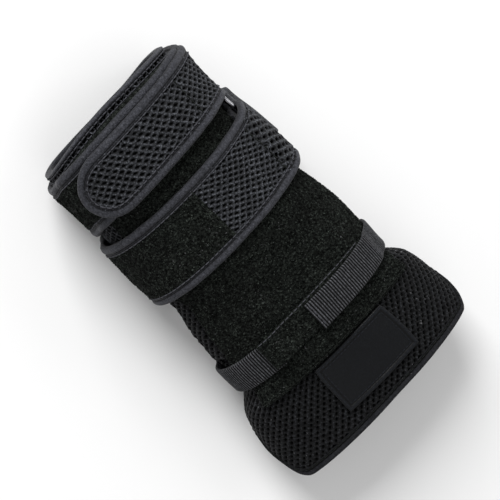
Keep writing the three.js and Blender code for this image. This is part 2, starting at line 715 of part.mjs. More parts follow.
// Strap 2: its folded end, the fold round the ring, mesh over the back and the loop-fabric tail
function addStrap2() {
  const { round, upper, strapMiddle } = ringFrame();
  const radius = WIRE / 2 + CLEAR + STRAP / 2;
  const folded = [];
  for (let i = 0; i < 2; i += 1) {
    folded.push({ arc: upper.arc + RETURN_PLY * (1 - i / 2), off: upper.off - radius });
  }
  const top = upper.off + radius;
  const settling = (turn) => {
    const past = (round.arcAt(turn) - upper.arc - RETURN_PLY) / SETTLE;
    const seated = seat(strapMiddle + STRAP_2_WIDTH / 2, turn) + STRAP / 2;
    return seated + (top - seated) * (1 - smooth(past));
  };
  const over = lying(round, RING_TURN, STRAP_END, settling);
  over.shift();
  const band = ply(round, [...folded, ...fold(upper, radius, 1), ...over], STRAP_2_LINE);
  const edge = STRAP_2_WIDTH / 2 - STRAP_BINDING / 2;
  const inside = STRAP_2_WIDTH / 2 - STRAP_BINDING - CLEAR;
  const seam = RETURN_PLY + Math.PI * radius + round.arcAt(SEAM_TURN) - upper.arc;
  const full = [0, band.length];
  add('strap_2', plySheet(band, 0, seam, inside, STRAP), 'mesh');
  add('strap_2_tail', plySheet(band, seam + CLEAR, band.length, inside, STRAP), 'loop');
  add('strap_2_rim_binding', tape(band, straightTape(band, ...full, -edge)), 'tape');
  add('strap_2_hand_binding', tape(band, straightTape(band, ...full, edge)), 'tape');
}

// Webbing round the palm: its free end lies on the bridge, its other end is sewn under the bridge
function addWebbing() {
  const x = WEBBING_MIDDLE;
  const round = unroll(x);
  const overBridge = (turn) => (
    (BRIDGE + CLEAR) * smooth((turn - BRIDGE_START + SEAT_REACH) / SEAT_RAMP)
  );
  const line = lying(round, WEBBING_SEWN_END, WEBBING_FREE_END, (turn) => (
    seat(x, turn) + WEBBING / 2 + overBridge(turn)
  ));
  const band = ply(round, line, WEBBING_LINE);
  add('webbing', plySheet(band, 0, band.length, WEBBING_WIDTH / 2, WEBBING), 'webbing');

  const sewnEnd = WEBBING_SEWN_END + 360;
  const bridgeLine = lying(round, BRIDGE_START, BRIDGE_END, (turn) => (
    seat(x, turn) + BRIDGE / 2
      + (WEBBING + CLEAR) * smooth((turn - sewnEnd + SEAT_REACH) / SEAT_RAMP)
  ));
  const bridge = ply(round, bridgeLine, BRIDGE_LINE);
  const half = BRIDGE_WIDTH / 2;
  add('webbing_bridge', plySheet(bridge, 0, bridge.length, half, BRIDGE), 'loop');
}

addPads();
addPanel();
addLabel();
addBase();
addStrap1();
addRing();
addRingTab();
addStrap2();
addWebbing();

// Origin under the middle of the glove, on the surface that it lies on
const bounds = new THREE.Box3().setFromObject(group);
const centre = bounds.getCenter(new THREE.Vector3());
group.position.set(-centre.x, -centre.y, -bounds.min.z);
group.updateMatrixWorld(true);

export default group;
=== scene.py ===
"""Bowling glove, dressed piece by piece over its fixed frame."""

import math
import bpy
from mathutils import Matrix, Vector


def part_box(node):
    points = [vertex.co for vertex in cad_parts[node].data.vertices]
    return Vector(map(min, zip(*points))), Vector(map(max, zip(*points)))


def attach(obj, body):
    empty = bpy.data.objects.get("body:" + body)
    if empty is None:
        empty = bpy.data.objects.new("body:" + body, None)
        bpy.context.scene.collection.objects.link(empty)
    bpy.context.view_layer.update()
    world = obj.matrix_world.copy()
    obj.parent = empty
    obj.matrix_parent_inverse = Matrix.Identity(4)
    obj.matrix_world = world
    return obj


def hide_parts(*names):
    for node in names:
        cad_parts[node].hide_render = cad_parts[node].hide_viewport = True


bl_info = {
    "name": "Bowling glove",
    "version": (1, 0, 0),
    "blender": (4, 5, 0),
    "location": "3D View > Sidebar > Glove",
    "description": "Makes a wrist-support bowling glove from padded mesh, straps, tape and loop fabric",
    "category": "Add Mesh",
}

import bpy
import numpy as np
from bpy.props import FloatProperty, FloatVectorProperty, PointerProperty
from mathutils import Matrix, Vector

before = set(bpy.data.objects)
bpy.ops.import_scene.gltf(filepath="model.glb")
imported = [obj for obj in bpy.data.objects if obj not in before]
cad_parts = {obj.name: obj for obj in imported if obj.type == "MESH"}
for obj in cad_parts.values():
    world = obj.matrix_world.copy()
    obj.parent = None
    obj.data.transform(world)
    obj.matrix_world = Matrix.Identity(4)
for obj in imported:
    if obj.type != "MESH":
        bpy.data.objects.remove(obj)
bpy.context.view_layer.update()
MM = 0.001

# Sizes of the frame's solids, in millimetres. X runs from the cuff end to the knuckle end,
# +Y is the ring side, and turns are degrees round the section from the ring side.
LENGTH = 188.0
CUFF_WIDTH = 67.0
WRIST_WIDTH = 71.0
HAND_WIDTH = 79.0
KNUCKLE_WIDTH = 105.0
CUFF_HEIGHT = 47.0
WRIST_HEIGHT = 43.0
HAND_HEIGHT = 35.0
KNUCKLE_HEIGHT = 31.0
CUFF_SHIFT = 4.0
PAD = 3.2
PANEL = 2.0
STRAP = 2.2
WEBBING = 1.4
BRIDGE = 1.4
LABEL = 0.8
CLEAR = 0.3
LAYER_GAP = 0.45
FLARE_START = 0.739 * LENGTH
BAND_START = FLARE_START - 17.5
PALM_END = FLARE_START + 18.5
RIM_DROP = 9.5
RIM_SLANT = 4.0
RIM_BINDING = 2.8
KNUCKLE_BINDING = 4.4
KNUCKLE_DROP = 0.42
KNUCKLE_RAMP = 0.9
BINDING_PROUD = 0.35
PANEL_START = 4.8
PANEL_END = FLARE_START + 11.5
PANEL_LENGTH = PANEL_END - PANEL_START
PANEL_WIDE = 118.0
PANEL_SLANT = 2.0
STRAP_BINDING = 5.0
STRAP_BINDING_PROUD = 0.25
BASE_WIDTH = 29.5
BASE_MIDDLE = 5.7 + BASE_WIDTH / 2
STRAP_1_WIDTH = 28.8
STRAP_1_MIDDLE = BASE_MIDDLE + 2.5
STRAP_2_WIDTH = 35.8
STRAP_2_MIDDLE = STRAP_1_MIDDLE + STRAP_1_WIDTH / 2 + 9.6 + STRAP_2_WIDTH / 2
CUFF_END = STRAP_2_MIDDLE + STRAP_2_WIDTH / 2 - 3.2
WEBBING_WIDTH = 14.4
WEBBING_MIDDLE = FLARE_START - 0.5 - WEBBING_WIDTH / 2
BRIDGE_WIDTH = 14.6
LABEL_LENGTH = 43.0
LABEL_WIDTH = 26.4
LABEL_SHIFT = 2.0
LABEL_GAP = 0.6
WIRE = 2.1
RING_SPACING = 11.5
RING_REACH = 6.6
RING_MARGIN = 0.7
TAB = 2.6
TAB_WIDTH = 31.0
TAB_RETURN = 15.0
TAB_SLANT = 3.0
RETURN_PLY = 6.0
SETTLE = 16.0
SIDE_SHARE = 0.42
BOTTOM_FULLNESS = 1.42
TOP_POWER = 2.2
BOTTOM_POWER = 2.6
SOFT_EDGE = 5.0
RING_TURN = 15
STRAP_1_START = -30
STRAP_1_TIP = 143
SEAM_TURN = 93
STRAP_END = 262
BASE_START = -80
TAB_START = -80
WEBBING_FREE_END = 93
WEBBING_SEWN_END = -240
BRIDGE_START = 44
BRIDGE_END = 127
BACK_PAD_START = 8
BACK_PAD_END = 174
SEAT_REACH = 15
SEAT_RAMP = 13

# Fabric forms that only the dressed glove has, in millimetres, degrees and shares
TAB_PUFF = 3.8
TAB_BULGE = 4.0
DOUBLED_END = 26.6
DOUBLED_RISE = 0.45
STRAP_1_DOUBLED = 51.0
TAIL_LIFT = 0.35
TAIL_LIFT_RUN = 5
PAD_SWELL = 1.7
PAD_SWELL_TURN = 148
PAD_ARC = 120
PANEL_ROUND = 2.6
PANEL_LEAST = 0.25
RIM_FOLLOWED = 17
OPEN_EDGE = 1.6
OPEN_DROP = 1.3
PLY_OVERLAP = 0.6
TIP_SHARE = 0.97
FOLD_STEPS = 18
SHARP_ANGLE = math.radians(50)

# Knitted mesh: its depth, and how its holes and strands vary
NET_DEPTH = 0.8
HOLE_SIZES = (0.84, 1.12)
HOLE_DRIFT = 0.08
HOLE_TAPER = 0.84
STRAND_SHADES = (0.5, 1.3)

# Nap of the loop fabric: each loop is a bent thread of three corners
NAP_SIZES = (0.55, 1.2)
NAP_SPREAD = 0.5
NAP_THREAD = 0.16
NAP_THREADS = (0.8, 1.25)
NAP_ROOT = 0.2
NAP_LEAN = 0.5
NAP_SHADES = (0.15, 1.2)
NAP_INSET = 0.8
THREAD_TURNS = (0.0, 2.094, 4.189)

# Stitches: their cross-sections from end to end, and their distances from an edge
STITCH_RADIUS = 0.26
STITCH_SIDES = 6
STITCH_SHARES = np.array([-0.5, -0.38, 0.0, 0.38, 0.5])
STITCH_RISES = np.array([-0.45, -0.05, 0.06, -0.05, -0.45])
STITCH_THICKNESS = np.array([0.35, 0.85, 1.0, 0.85, 0.35])
STITCH_LENGTHS = (0.9, 1.06)
STITCH_INSET = 0.43 * STRAP_BINDING
SEAM_INSET = 0.5
PANEL_SEAM = 1.8
PANEL_END_SEAM = 1.7

# Tape, webbing and the border of the patch
TAPE_WIDTHS = 0.035
RIM_WIDTHS = 0.03
TAPE_PUCKER = 0.07
TAPE_TWIST = 0.05
RIB_HEIGHT = 0.5
RIB_ROWS = 5
RIB_SINK = 0.1
SELVAGE = 0.8
LABEL_HEM = 0.32
LABEL_BORDER = 2.3

# Turns and places that other pieces cover, where mesh and nap are left out, and a place by the ring where the
# cuff's mesh is left out as painted shade
COVER_MARGIN = 1.5
PANEL_MARGIN = 2.0
PANEL_TURNS = (6, 176)
STRAP_2_COVER_START = 18
# By the ring and between the straps nothing covers the cuff; its mesh is left out there so that the
# near-black pad core shows as painted shade under the ring
RING_SHADE_TURN = 14
RING_SHADE_REACH = 20
RING_SHADE_X = (34, 52)

# Steps from a mesh hole to two of its neighbours, along and across, and each mesh's holes as
# half length, half width and turn
STRAP_NET = np.array([(-1.49, 2.23), (2.05, 1.21)])
WIDE_STRAP_NET = np.array([(-2.14, 1.47), (1.54, 1.65)])
BAND_NET = np.array([(-2.82, 1.03), (1.58, 1.84)])
CUFF_HOLE = (0.92, 0.66, 2.2)
BAND_HOLE = (0.95, 0.58, 0.9)
BACK_PAD_HOLE = (0.86, 0.62, 0.9)
STRAP_1_HOLE = (0.94, 0.53, 2.65)
STRAP_2_HOLE = (0.93, 0.46, 2.84)
DOUBLED_HOLE = (1.2, 0.72, 2.6)
DOUBLED_SCALE = 1.3

# Four rings of a mesh cell, from its outline down into its hole
CELL_SIDES = 12
CELL_HEIGHTS = np.array(
    [[0.08, -0.04] * (CELL_SIDES // 2)] + [[rise] * CELL_SIDES for rise in (-0.09, -0.42, -NET_DEPTH)]
)
# Painted light of the four rings: a painted highlight on the strand tops and painted shade down the hole's
# walls
CELL_PAINTED_LIGHT = [1.05, 0.62, 0.1, 0.0]

# Steps over the patch's border from its edge, and its painted light at distances from the edge: a painted
# highlight on the raised hem, painted shade at the very edge and in the groove inside the hem
LABEL_STEPS = np.array([0.0, 0.25, 0.6, 1.2, 1.7, 1.95, 2.15, 2.35, 2.6])
LABEL_PAINTED_LIGHT = [(0.0, 0.1), (0.25, 0.2), (0.6, 1.5), (1.7, 1.4), (1.95, 0.1), (2.35, 0.1), (2.6, 0.9)]

# Folded tape across its width, with a thin ridge, a flat strip and a wide roll: share of the
# half width outward, share of the height, and painted light, lighter on the ridge and the roll's top,
# with painted shade in the grooves, on the flat strip and underneath
TAPE_PROFILE = np.array([
    (-1.00, 0.30, 0.0), (-0.97, 0.66, 0.1), (-0.92, 0.84, 1.0), (-0.84, 0.84, 0.9),
    (-0.76, 0.66, 0.0), (-0.62, 0.74, 0.35), (-0.44, 0.74, 0.3), (-0.36, 0.64, 0.0),
    (-0.24, 0.90, 0.6), (-0.06, 1.06, 0.9), (0.14, 1.14, 1.0), (0.36, 1.18, 1.0),
    (0.56, 1.12, 0.95), (0.76, 0.94, 0.8), (0.92, 0.56, 0.55), (1.00, 0.10, 0.4), (0.98, -0.40, 0.4),
    (0.86, -0.84, 0.5), (0.60, -1.00, 0.4), (-0.20, -1.00, 0.4), (-1.00, -1.00, 0.2),
])
TAPE_OUT, TAPE_RISE = TAPE_PROFILE[None, :, 0], TAPE_PROFILE[None, :, 1]
TAPE_TOP = np.clip(TAPE_RISE, 0, 1)
EVEN_OUT = np.hanning(7) / np.hanning(7).sum()


def smooth(t):
    c = np.clip(t, 0.0, 1.0)
    return c * c * (3 - 2 * c)


class Track:
    """A smooth line through (key, value) rows whose keys rise, without overshoot."""

    def __init__(self, rows):
        self.keys, self.values = np.array(rows, float).T
        self.slopes = np.diff(self.values) / np.diff(self.keys)
        wide = (self.values[2:] - self.values[:-2]) / (self.keys[2:] - self.keys[:-2])
        self.slope_in = self.limited(np.concatenate([self.slopes[:1], wide]))
        self.slope_out = self.limited(np.concatenate([wide, self.slopes[-1:]]))

    def limited(self, wanted):
        size = np.minimum(np.abs(wanted), 3 * np.abs(self.slopes))
        return np.where(self.slopes * wanted <= 0, 0.0, np.sign(self.slopes) * size)

    def __call__(self, at):
        at = np.asarray(at, float)
        i = np.searchsorted(self.keys[1:-1], at, side="left")
        span = self.keys[i + 1] - self.keys[i]
        t = np.clip((at - self.keys[i]) / span, 0.0, 1.0)
        rise = (self.values[i + 1] - self.values[i]) * t * t * (3 - 2 * t)
        bend = self.slope_in[i] * t * (1 - t) ** 2 + self.slope_out[i] * t * t * (t - 1)
        return self.values[i] + rise + span * bend


# Sections along the glove, at shares of its length
WIDTHS = Track([
    (0.000, 0.95 * CUFF_WIDTH), (0.100, CUFF_WIDTH), (0.225, 1.01 * CUFF_WIDTH),
    (0.320, WRIST_WIDTH), (0.420, 1.01 * WRIST_WIDTH), (0.480, 1.03 * WRIST_WIDTH),
    (0.570, HAND_WIDTH), (0.737, HAND_WIDTH), (0.800, 0.92 * KNUCKLE_WIDTH),
    (0.890, 0.99 * KNUCKLE_WIDTH), (1.000, KNUCKLE_WIDTH),
])
HEIGHTS = Track([
    (0.000, CUFF_HEIGHT), (0.100, CUFF_HEIGHT), (0.225, 0.97 * CUFF_HEIGHT),
    (0.320, 1.02 * WRIST_HEIGHT), (0.420, WRIST_HEIGHT), (0.480, 0.96 * WRIST_HEIGHT),
    (0.570, 1.07 * HAND_HEIGHT), (0.737, HAND_HEIGHT), (0.800, 1.05 * KNUCKLE_HEIGHT),
    (0.890, KNUCKLE_HEIGHT), (1.000, 0.97 * KNUCKLE_HEIGHT),
])
SHIFTS = Track([
    (0.000, 0.40), (0.100, 0.85), (0.225, 0.75), (0.320, 0.55), (0.420, 0.35),
    (0.480, 0.05), (0.570, 0.0), (1.000, 0.0),
])
RESTS = Track([(0.000, STRAP), (0.480, STRAP), (0.570, WEBBING), (1.000, WEBBING)])

# Turns of the panel's edges: where the straps are seated on it, and where it is sewn
PANEL_FROM = Track([
    (0.000, 34), (0.100, 27), (0.245, 27), (0.390, 27), (0.444, 27), (0.480, 12),
    (0.530, 6), (0.737, 6), (0.800, 32),
])
PANEL_TO = Track([
    (0.000, 140), (0.100, 148), (0.245, 148), (0.390, 172), (0.444, 176), (0.480, 176),
    (0.530, 176), (0.737, 176), (0.800, 150),
])
PANEL_SEWN_FROM = Track([
    (0.000, 34), (0.100, 27), (0.245, 27), (0.390, 27), (0.416, 22), (0.438, 9),
    (0.530, 6), (0.700, 6), (0.742, 17), (0.768, 30), (0.800, 38),
])
PANEL_SEWN_TO = Track([
    (0.000, 140), (0.100, 148), (0.245, 148), (0.390, 160), (0.444, 156), (0.480, 152),
    (0.530, 152), (0.690, 158), (0.737, 160), (0.800, 148),
])


def middle_line(middle, width, rows):
    """Middle of a strap over the turn, from its shifts as shares of its width."""
    return Track([(turn, middle + share * width) for turn, share in rows])


BASE_LINE = middle_line(BASE_MIDDLE, BASE_WIDTH, [
    (-80, 0.24), (0, 0.12), (30, 0.01), (90, 0), (150, 0.13), (185, 0.29), (262, 0.32),
])
STRAP_1_LINE = middle_line(STRAP_1_MIDDLE, STRAP_1_WIDTH, [
    (-30, 0.03), (10, -0.02), (40, -0.02), (90, 0), (130, 0.06), (150, 0.12),
])
STRAP_2_LINE = middle_line(STRAP_2_MIDDLE, STRAP_2_WIDTH, [(10, -0.09), (45, -0.02), (90, 0), (262, 0.01)])
WEBBING_LINE = middle_line(WEBBING_MIDDLE, WEBBING_WIDTH, [(-240, -0.04), (-90, 0), (45, 0.05), (90, 0)])
BRIDGE_LINE = middle_line(WEBBING_MIDDLE, WEBBING_WIDTH, [(40, -0.01), (80, -0.12), (130, -0.12)])


def section(x):
    at = x / LENGTH
    height = HEIGHTS(at)
    floor = PAD + CLEAR + RESTS(at)
    return WIDTHS(at) / 2, -CUFF_SHIFT * SHIFTS(at), floor, floor + SIDE_SHARE * height, height


def soft_max(a, b, width):
    share = np.clip((1 + (a - b) / width) / 2, 0.0, 1.0)
    return a * share + b * (1 - share) + width * share * (1 - share)


def surface(x, turn, off):
    """Points of the glove at x, turn degrees round it and off outward from its hollow."""
    x, turn, off = np.broadcast_arrays(*(np.asarray(v, float) for v in (x, turn, off)))
    half, middle, floor, side, height = section(x)
    c = np.cos(np.radians(turn))
    n = np.sin(np.radians(turn))
    upper = n >= 0
    power = np.where(upper, TOP_POWER, BOTTOM_POWER)
    y = middle + (half + off) * np.sign(c) * np.abs(c) ** (2 / power)
    rise = np.abs(n) ** (2 / power)
    top = side + ((1 - SIDE_SHARE) * height + off) * rise
    depth = BOTTOM_FULLNESS * SIDE_SHARE * height + off
    bottom = soft_max(side - depth * rise, floor - off, SOFT_EDGE)
    return np.stack([x, y, np.where(upper, top, bottom)], axis=-1)


def rim_edge(turn):
    slant = np.maximum(0.0, -np.cos(np.radians(turn))) ** 2
    return RIM_DROP * (1 - np.sin(np.radians(turn))) / 2 + RIM_SLANT * slant


def knuckle_edge(turn):
    back = smooth((np.sin(np.radians(turn)) + KNUCKLE_DROP) / KNUCKLE_RAMP)
    return PALM_END + (LENGTH - PALM_END) * back


def seat(x, turn):
    """Offset on which a strap lies: on the panel where there is one, otherwise on the pad."""
    around = np.mod(turn + 90, 360) - 90
    from_start = around - PANEL_FROM(x / LENGTH) + SEAT_REACH
    from_end = PANEL_TO(x / LENGTH) + SEAT_REACH - around
    return PAD + CLEAR + (PANEL + CLEAR) * smooth(from_start / SEAT_RAMP) * smooth(from_end / SEAT_RAMP)


class Unrolled:
    """Turn and distance round the section at one x."""

    def __init__(self, x):
        self.turns = np.arange(-270.0, 302.0, 2.0)
        steps = np.linalg.norm(np.diff(surface(x, self.turns, PAD), axis=0), axis=1)
        self.arcs = np.concatenate([[0.0], np.cumsum(steps)])

    def arc_at(self, turn):
        return np.interp(turn, self.turns, self.arcs)

    def turn_at(self, arc):
        return np.interp(arc, self.arcs, self.turns)


class Band:
    """A ply that follows a line of distance round and offset. Its points are s along it,
    q across it towards the knuckle end and h above its middle."""

    REACH = 0.8

    def __init__(self, unrolled, arcs, offs, line):
        self.unrolled = unrolled
        self.arcs = arcs
        self.offs = offs
        self.line = line
        self.stops = np.concatenate([[0.0], np.cumsum(np.hypot(np.diff(arcs), np.diff(offs)))])
        self.length = self.stops[-1]

    def sample(self, s):
        return np.interp(s, self.stops, self.arcs), np.interp(s, self.stops, self.offs)

    def turn(self, s):
        return self.unrolled.turn_at(self.sample(s)[0])

    def place(self, s, q, h):
        s, q, h = np.broadcast_arrays(*(np.asarray(v, float) for v in (s, q, h)))
        arc, off = self.sample(s)
        arc_0, off_0 = self.sample(np.maximum(0, s - self.REACH))
        arc_1, off_1 = self.sample(np.minimum(self.length, s + self.REACH))
        run = np.maximum(np.hypot(arc_1 - arc_0, off_1 - off_0), 1e-6)
        turn = self.unrolled.turn_at(arc - h * (off_1 - off_0) / run)
        keys = self.line.keys
        x = self.line(np.clip(turn, keys[0], keys[-1])) + q
        return surface(x, turn, off + h * (arc_1 - arc_0) / run)

    def face(self, thickness, lift=lambda s, q: 0.0):
        """Spot function of the outer face, with an extra lift over s and q."""
        return lambda u, v, h: self.place(u, v, thickness / 2 + h + lift(u, v))


def lying(unrolled, start, end, off_at):
    """Distances and offsets of a ply that lies round the section, a millimetre apart."""
    count = max(2, int(round(abs(unrolled.arc_at(end) - unrolled.arc_at(start)))))
    turns = start + (end - start) * np.arange(count + 1) / count
    return unrolled.arc_at(turns), off_at(turns)


def folded(bar_arc, bar_off, radius, side):
    """Half circle round a bar. Side +1 folds on the palm side of the bar, -1 on its other side."""
    angle = np.pi * (np.arange(FOLD_STEPS + 1) / FOLD_STEPS - 0.5)
    return bar_arc - side * radius * np.cos(angle), bar_off + radius * np.sin(angle)


# Slow waves of the whole glove, as height share, length in millimetres, lobes round it and phase.
# Every layer shares them, so the layers stay apart.
WAVES = [(0.34, 61.0, 2, 0.4), (0.28, 37.0, -3, 1.9), (0.22, 26.0, 4, 3.1), (0.16, 17.0, -5, 5.2)]
WAVE_FLOOR = 5.0
WAVE_RISE = 16.0


def with_slack(points):
    x = np.clip(points[:, 0], 0.0, LENGTH)
    _, middle, _, side, _ = section(x)
    dy = points[:, 1] - middle
    dz = points[:, 2] - side
    around = np.arctan2(dz, dy)
    wave = sum(a * np.sin(2 * np.pi * x / w + k * around + p) for a, w, k, p in WAVES)
    size = bpy.context.scene.glove_fabric.slack / MM
    out = size * wave * smooth((points[:, 2] - WAVE_FLOOR) / WAVE_RISE) / np.maximum(np.hypot(dy, dz), 1.0)
    return points + out[:, None] * np.stack([0 * dy, dy, dz], axis=-1)


# From the glove's own coordinates to the frame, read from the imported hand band
BAND_LOW, BAND_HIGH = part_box("hand_band")
TO_FRAME = np.array([
    -LENGTH / 2,
    (BAND_LOW.y + BAND_HIGH.y) / 2 / MM,
    BAND_LOW.z / MM - CLEAR - WEBBING,
])


# Mesh parts: a part is its points, a list of index arrays, one for each face size, and its painted light.
# The painted light is a share, 1 on top of a thread or fold and 0 down in its hollow; the finish multiplies
# the colour by it, so it is painted shade in the hollows and, above 1, a painted highlight.

def grid_quads(index):
    quads = np.stack([index[:-1, :-1], index[:-1, 1:], index[1:, 1:], index[1:, :-1]], axis=-1)
    return quads.reshape(-1, 4)


def ring_index(count, sides):
    """Numbers of the points of count rings, each with its first point again at its end."""
    index = np.arange(count * sides).reshape(count, sides)
    return np.concatenate([index, index[:, :1]], axis=1)


def turned_out(points, faces):
    """The same part with its faces turned outward."""
    volume = 0.0
    for face in faces:
        a = points[face[:, 0]]
        for k in range(1, face.shape[1] - 1):
            volume += np.einsum("ij,ij->", a, np.cross(points[face[:, k]], points[face[:, k + 1]]))
    return points, [face[:, ::-1] if volume < 0 else face for face in faces]


def closed_sheet(at, along, across, wrap=False):
    """A closed sheet. at(a, b, face) places the shares a and b, with face 0 inside and 1 outside."""
    grids = [at(along[:, None], across[None, :], face) for face in (0, 1)]
    index = np.arange(2 * len(along) * len(across)).reshape(2, len(along), len(across))
    if wrap:
        index = np.concatenate([index, index[:, :, :1]], axis=2)
    inner, outer = index
    edges = [(inner[0], outer[0]), (outer[-1], inner[-1])]
    if not wrap:
        edges += [(outer[:, 0], inner[:, 0]), (inner[:, -1], outer[:, -1])]
    quads = [grid_quads(outer), grid_quads(inner)[:, ::-1]]
    quads += [grid_quads(np.stack(edge)) for edge in edges]
    points = np.concatenate([grid.reshape(-1, 3) for grid in grids])
    return turned_out(points, [np.concatenate(quads)])


def swept(rings, closed=False):
    """A solid swept through rings of points, joined end to end or closed by two caps."""
    count, sides = rings.shape[:2]
    index = ring_index(count, sides)
    points = rings.reshape(-1, 3)
    if closed:
        return turned_out(points, [grid_quads(np.concatenate([index, index[:1]], axis=0))])
    points = np.concatenate([points, rings[0].mean(0)[None], rings[-1].mean(0)[None]])
    first, last = count * sides, count * sides + 1
    caps = [(first, index[0, j + 1], index[0, j]) for j in range(sides)]
    caps += [(last, index[-1, j], index[-1, j + 1]) for j in range(sides)]
    return turned_out(points, [grid_quads(index), np.array(caps)])


def repeated(units, sides, painted_lights=1.0):
    """Many copies of one small open tube of rings, each with its own points."""
    count, size = units.shape[:2]
    quads = grid_quads(ring_index(size // sides, sides))
    faces = quads[None] + (np.arange(count) * size)[:, None, None]
    return units.reshape(-1, 3), [faces.reshape(-1, 4)], np.broadcast_to(painted_lights, (count, size)).ravel()


def make_piece(name, parts, finish):
    """One object made of parts, which rides on the glove's only body."""
    points = with_slack(np.concatenate([part[0] for part in parts]))
    points = (points + TO_FRAME) * MM
    points[:, 2] = np.maximum(points[:, 2], 0.0)
    painted_lights = np.concatenate([part[2] if len(part) > 2 else np.ones(len(part[0])) for part in parts])
    faces = []
    start = 0
    for part in parts:
        faces += [face + start for face in part[1]]
        start += len(part[0])
    mesh = bpy.data.meshes.new(name)
    mesh.vertices.add(len(points))
    mesh.vertices.foreach_set("co", points.astype(np.float32).ravel())
    sizes = np.concatenate([np.full(len(face), face.shape[1]) for face in faces])
    mesh.loops.add(int(sizes.sum()))
    mesh.loops.foreach_set("vertex_index", np.concatenate([face.ravel() for face in faces]).astype(np.int32))
    mesh.polygons.add(len(sizes))
    mesh.polygons.foreach_set("loop_start", (np.cumsum(sizes) - sizes).astype(np.int32))
    mesh.update(calc_edges=True)
    # Each point's painted light share, which the finish uses as painted shade and painted highlight
    mesh.attributes.new("crown", "FLOAT", "POINT").data.foreach_set("value", painted_lights.astype(np.float32))
    mesh.shade_smooth()
    mesh.set_sharp_from_angle(angle=SHARP_ANGLE)
    mesh.materials.append(finish_named(finish))
    piece = bpy.data.objects.new(name, mesh)
    bpy.context.scene.collection.objects.link(piece)
    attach(piece, "root")
    return piece


def dress(name, part, finish):
    """One piece that takes the place of the frame's node of the same name."""
    piece = make_piece(name, [part], finish)
    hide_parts(name)
    return piece


# Fabric parts. A spot function takes u, v and h in millimetres: along, across and above a face.

def edge_round(distance, radius, least=0.0):
    """Share of the full thickness at a distance from a rounded edge."""
    near = 1 - np.clip(distance / radius, 0.0, 1.0)
    return least + (1 - least) * np.sqrt(1 - near * near)


def end_distance(share, length):
    """Distance to the nearer end of a length."""
    return np.minimum(share, 1 - share) * length


def fine_shares(length, step, soft=2.0):
    """Shares of a length, with closer steps near both ends."""
    inner = np.linspace(soft, length - soft, max(2, int(round((length - 2 * soft) / step)) + 1))
    ramp = soft * (1 - np.cos(np.linspace(0, np.pi / 2, 5)))[:-1]
    return np.concatenate([ramp, inner, length - ramp[::-1]]) / length


def unit(vectors):
    return vectors / np.maximum(np.linalg.norm(vectors, axis=-1, keepdims=True), 1e-9)


def tile_outline(first, second):
    """Twelve points round one tile of a net, at its six corners and the middles of its sides.
    The two steps of the net stand at a right or blunt angle."""
    near = [first, first + second, second]
    near = np.array(near + [-step for step in near])
    if np.cross(first, second) < 0:
        near = near[::-1]
    pairs = zip(near, np.roll(near, -1, axis=0))
    corners = np.array([np.linalg.solve(np.array([p, q]), np.array([p @ p, q @ q]) / 2) for p, q in pairs])
    points = np.empty((12, 2))
    points[0::2] = corners
    points[1::2] = (corners + np.roll(corners, -1, axis=0)) / 2
    return points


def closing_steps(first, second, around):
    """The same two steps, changed a little so that the net closes round a tube."""
    turns = np.round(np.linalg.solve(np.array([first, second]).T, np.array([around, 0.0])))
    whole = turns[0] * first + turns[1] * second
    return [np.array([p[0] * around / whole[0], p[1] - whole[1] * p[0] / whole[0]]) for p in (first, second)]


def net(spot, u_range, v_range, keep, steps, hole, seed, closes=False):
    """Knitted spacer mesh: oval holes between rounded strands. Steps are the two ways from a
    hole to its neighbours, and keep(u, v) picks the holes."""
    rng = np.random.default_rng(seed)
    first, second = bpy.context.scene.glove_fabric.mesh_scale * steps
    span, tall = u_range[1] - u_range[0], v_range[1] - v_range[0]
    if closes:
        first, second = closing_steps(first, second, span)
    reach = int((span + tall) / min(np.hypot(*first), np.hypot(*second))) + 4
    i, j = (k.ravel() for k in np.meshgrid(np.arange(-reach, reach), np.arange(-reach, reach)))
    u = i * first[0] + j * second[0] + 1e-4
    v = i * first[1] + j * second[1]
    inside = (u >= 0) & (u < span) & (v >= 0) & (v < tall)
    u, v = u[inside] + u_range[0], v[inside] + v_range[0]
    kept = keep(u, v)
    u, v = u[kept], v[kept]
    count = len(u)
    long, wide, turn = hole
    back = np.array([[math.cos(turn), -math.sin(turn)], [math.sin(turn), math.cos(turn)]])
    rim = tile_outline(first, second)
    turned = rim @ back
    angle = np.arctan2(turned[:, 1] / wide, turned[:, 0] / long)
    oval = np.stack([long * np.cos(angle), wide * np.sin(angle)], axis=-1) @ back.T
    size = rng.uniform(*HOLE_SIZES, (count, 1, 1))
    drift = rng.uniform(-HOLE_DRIFT, HOLE_DRIFT, (count, 1, 2))
    oval = oval[None] * size + drift
    edge = np.broadcast_to(rim[None], (count, CELL_SIDES, 2))
    rings = np.stack([edge, 0.5 * edge + 0.5 * oval, oval, HOLE_TAPER * oval], axis=1)
    # Painted light on each cell: its rings' shares, lighter on the strands beside the hole's long sides than
    # at its ends, times a random tone for each point
    beside = 1.2 - 0.65 * np.cos(angle) ** 2
    painted_lights = np.outer(CELL_PAINTED_LIGHT, beside).ravel()
    painted_lights = painted_lights[None] * rng.uniform(*STRAND_SHADES, (count, len(painted_lights)))
    cells = spot(rings[..., 0] + u[:, None, None], rings[..., 1] + v[:, None, None], CELL_HEIGHTS[None])
    return repeated(cells.reshape(count, -1, 3), CELL_SIDES, painted_lights)


def spot_axes(spot, u, v, h):
    """Points on a face with their normals and the directions of u and v."""
    step = 0.3
    here = spot(u, v, h)
    along = spot(u + step, v, h) - spot(u - step, v, h)
    across = spot(u, v + step, h) - spot(u, v - step, h)
    return here, unit(spot(u, v, h + step) - here), unit(along), unit(across)


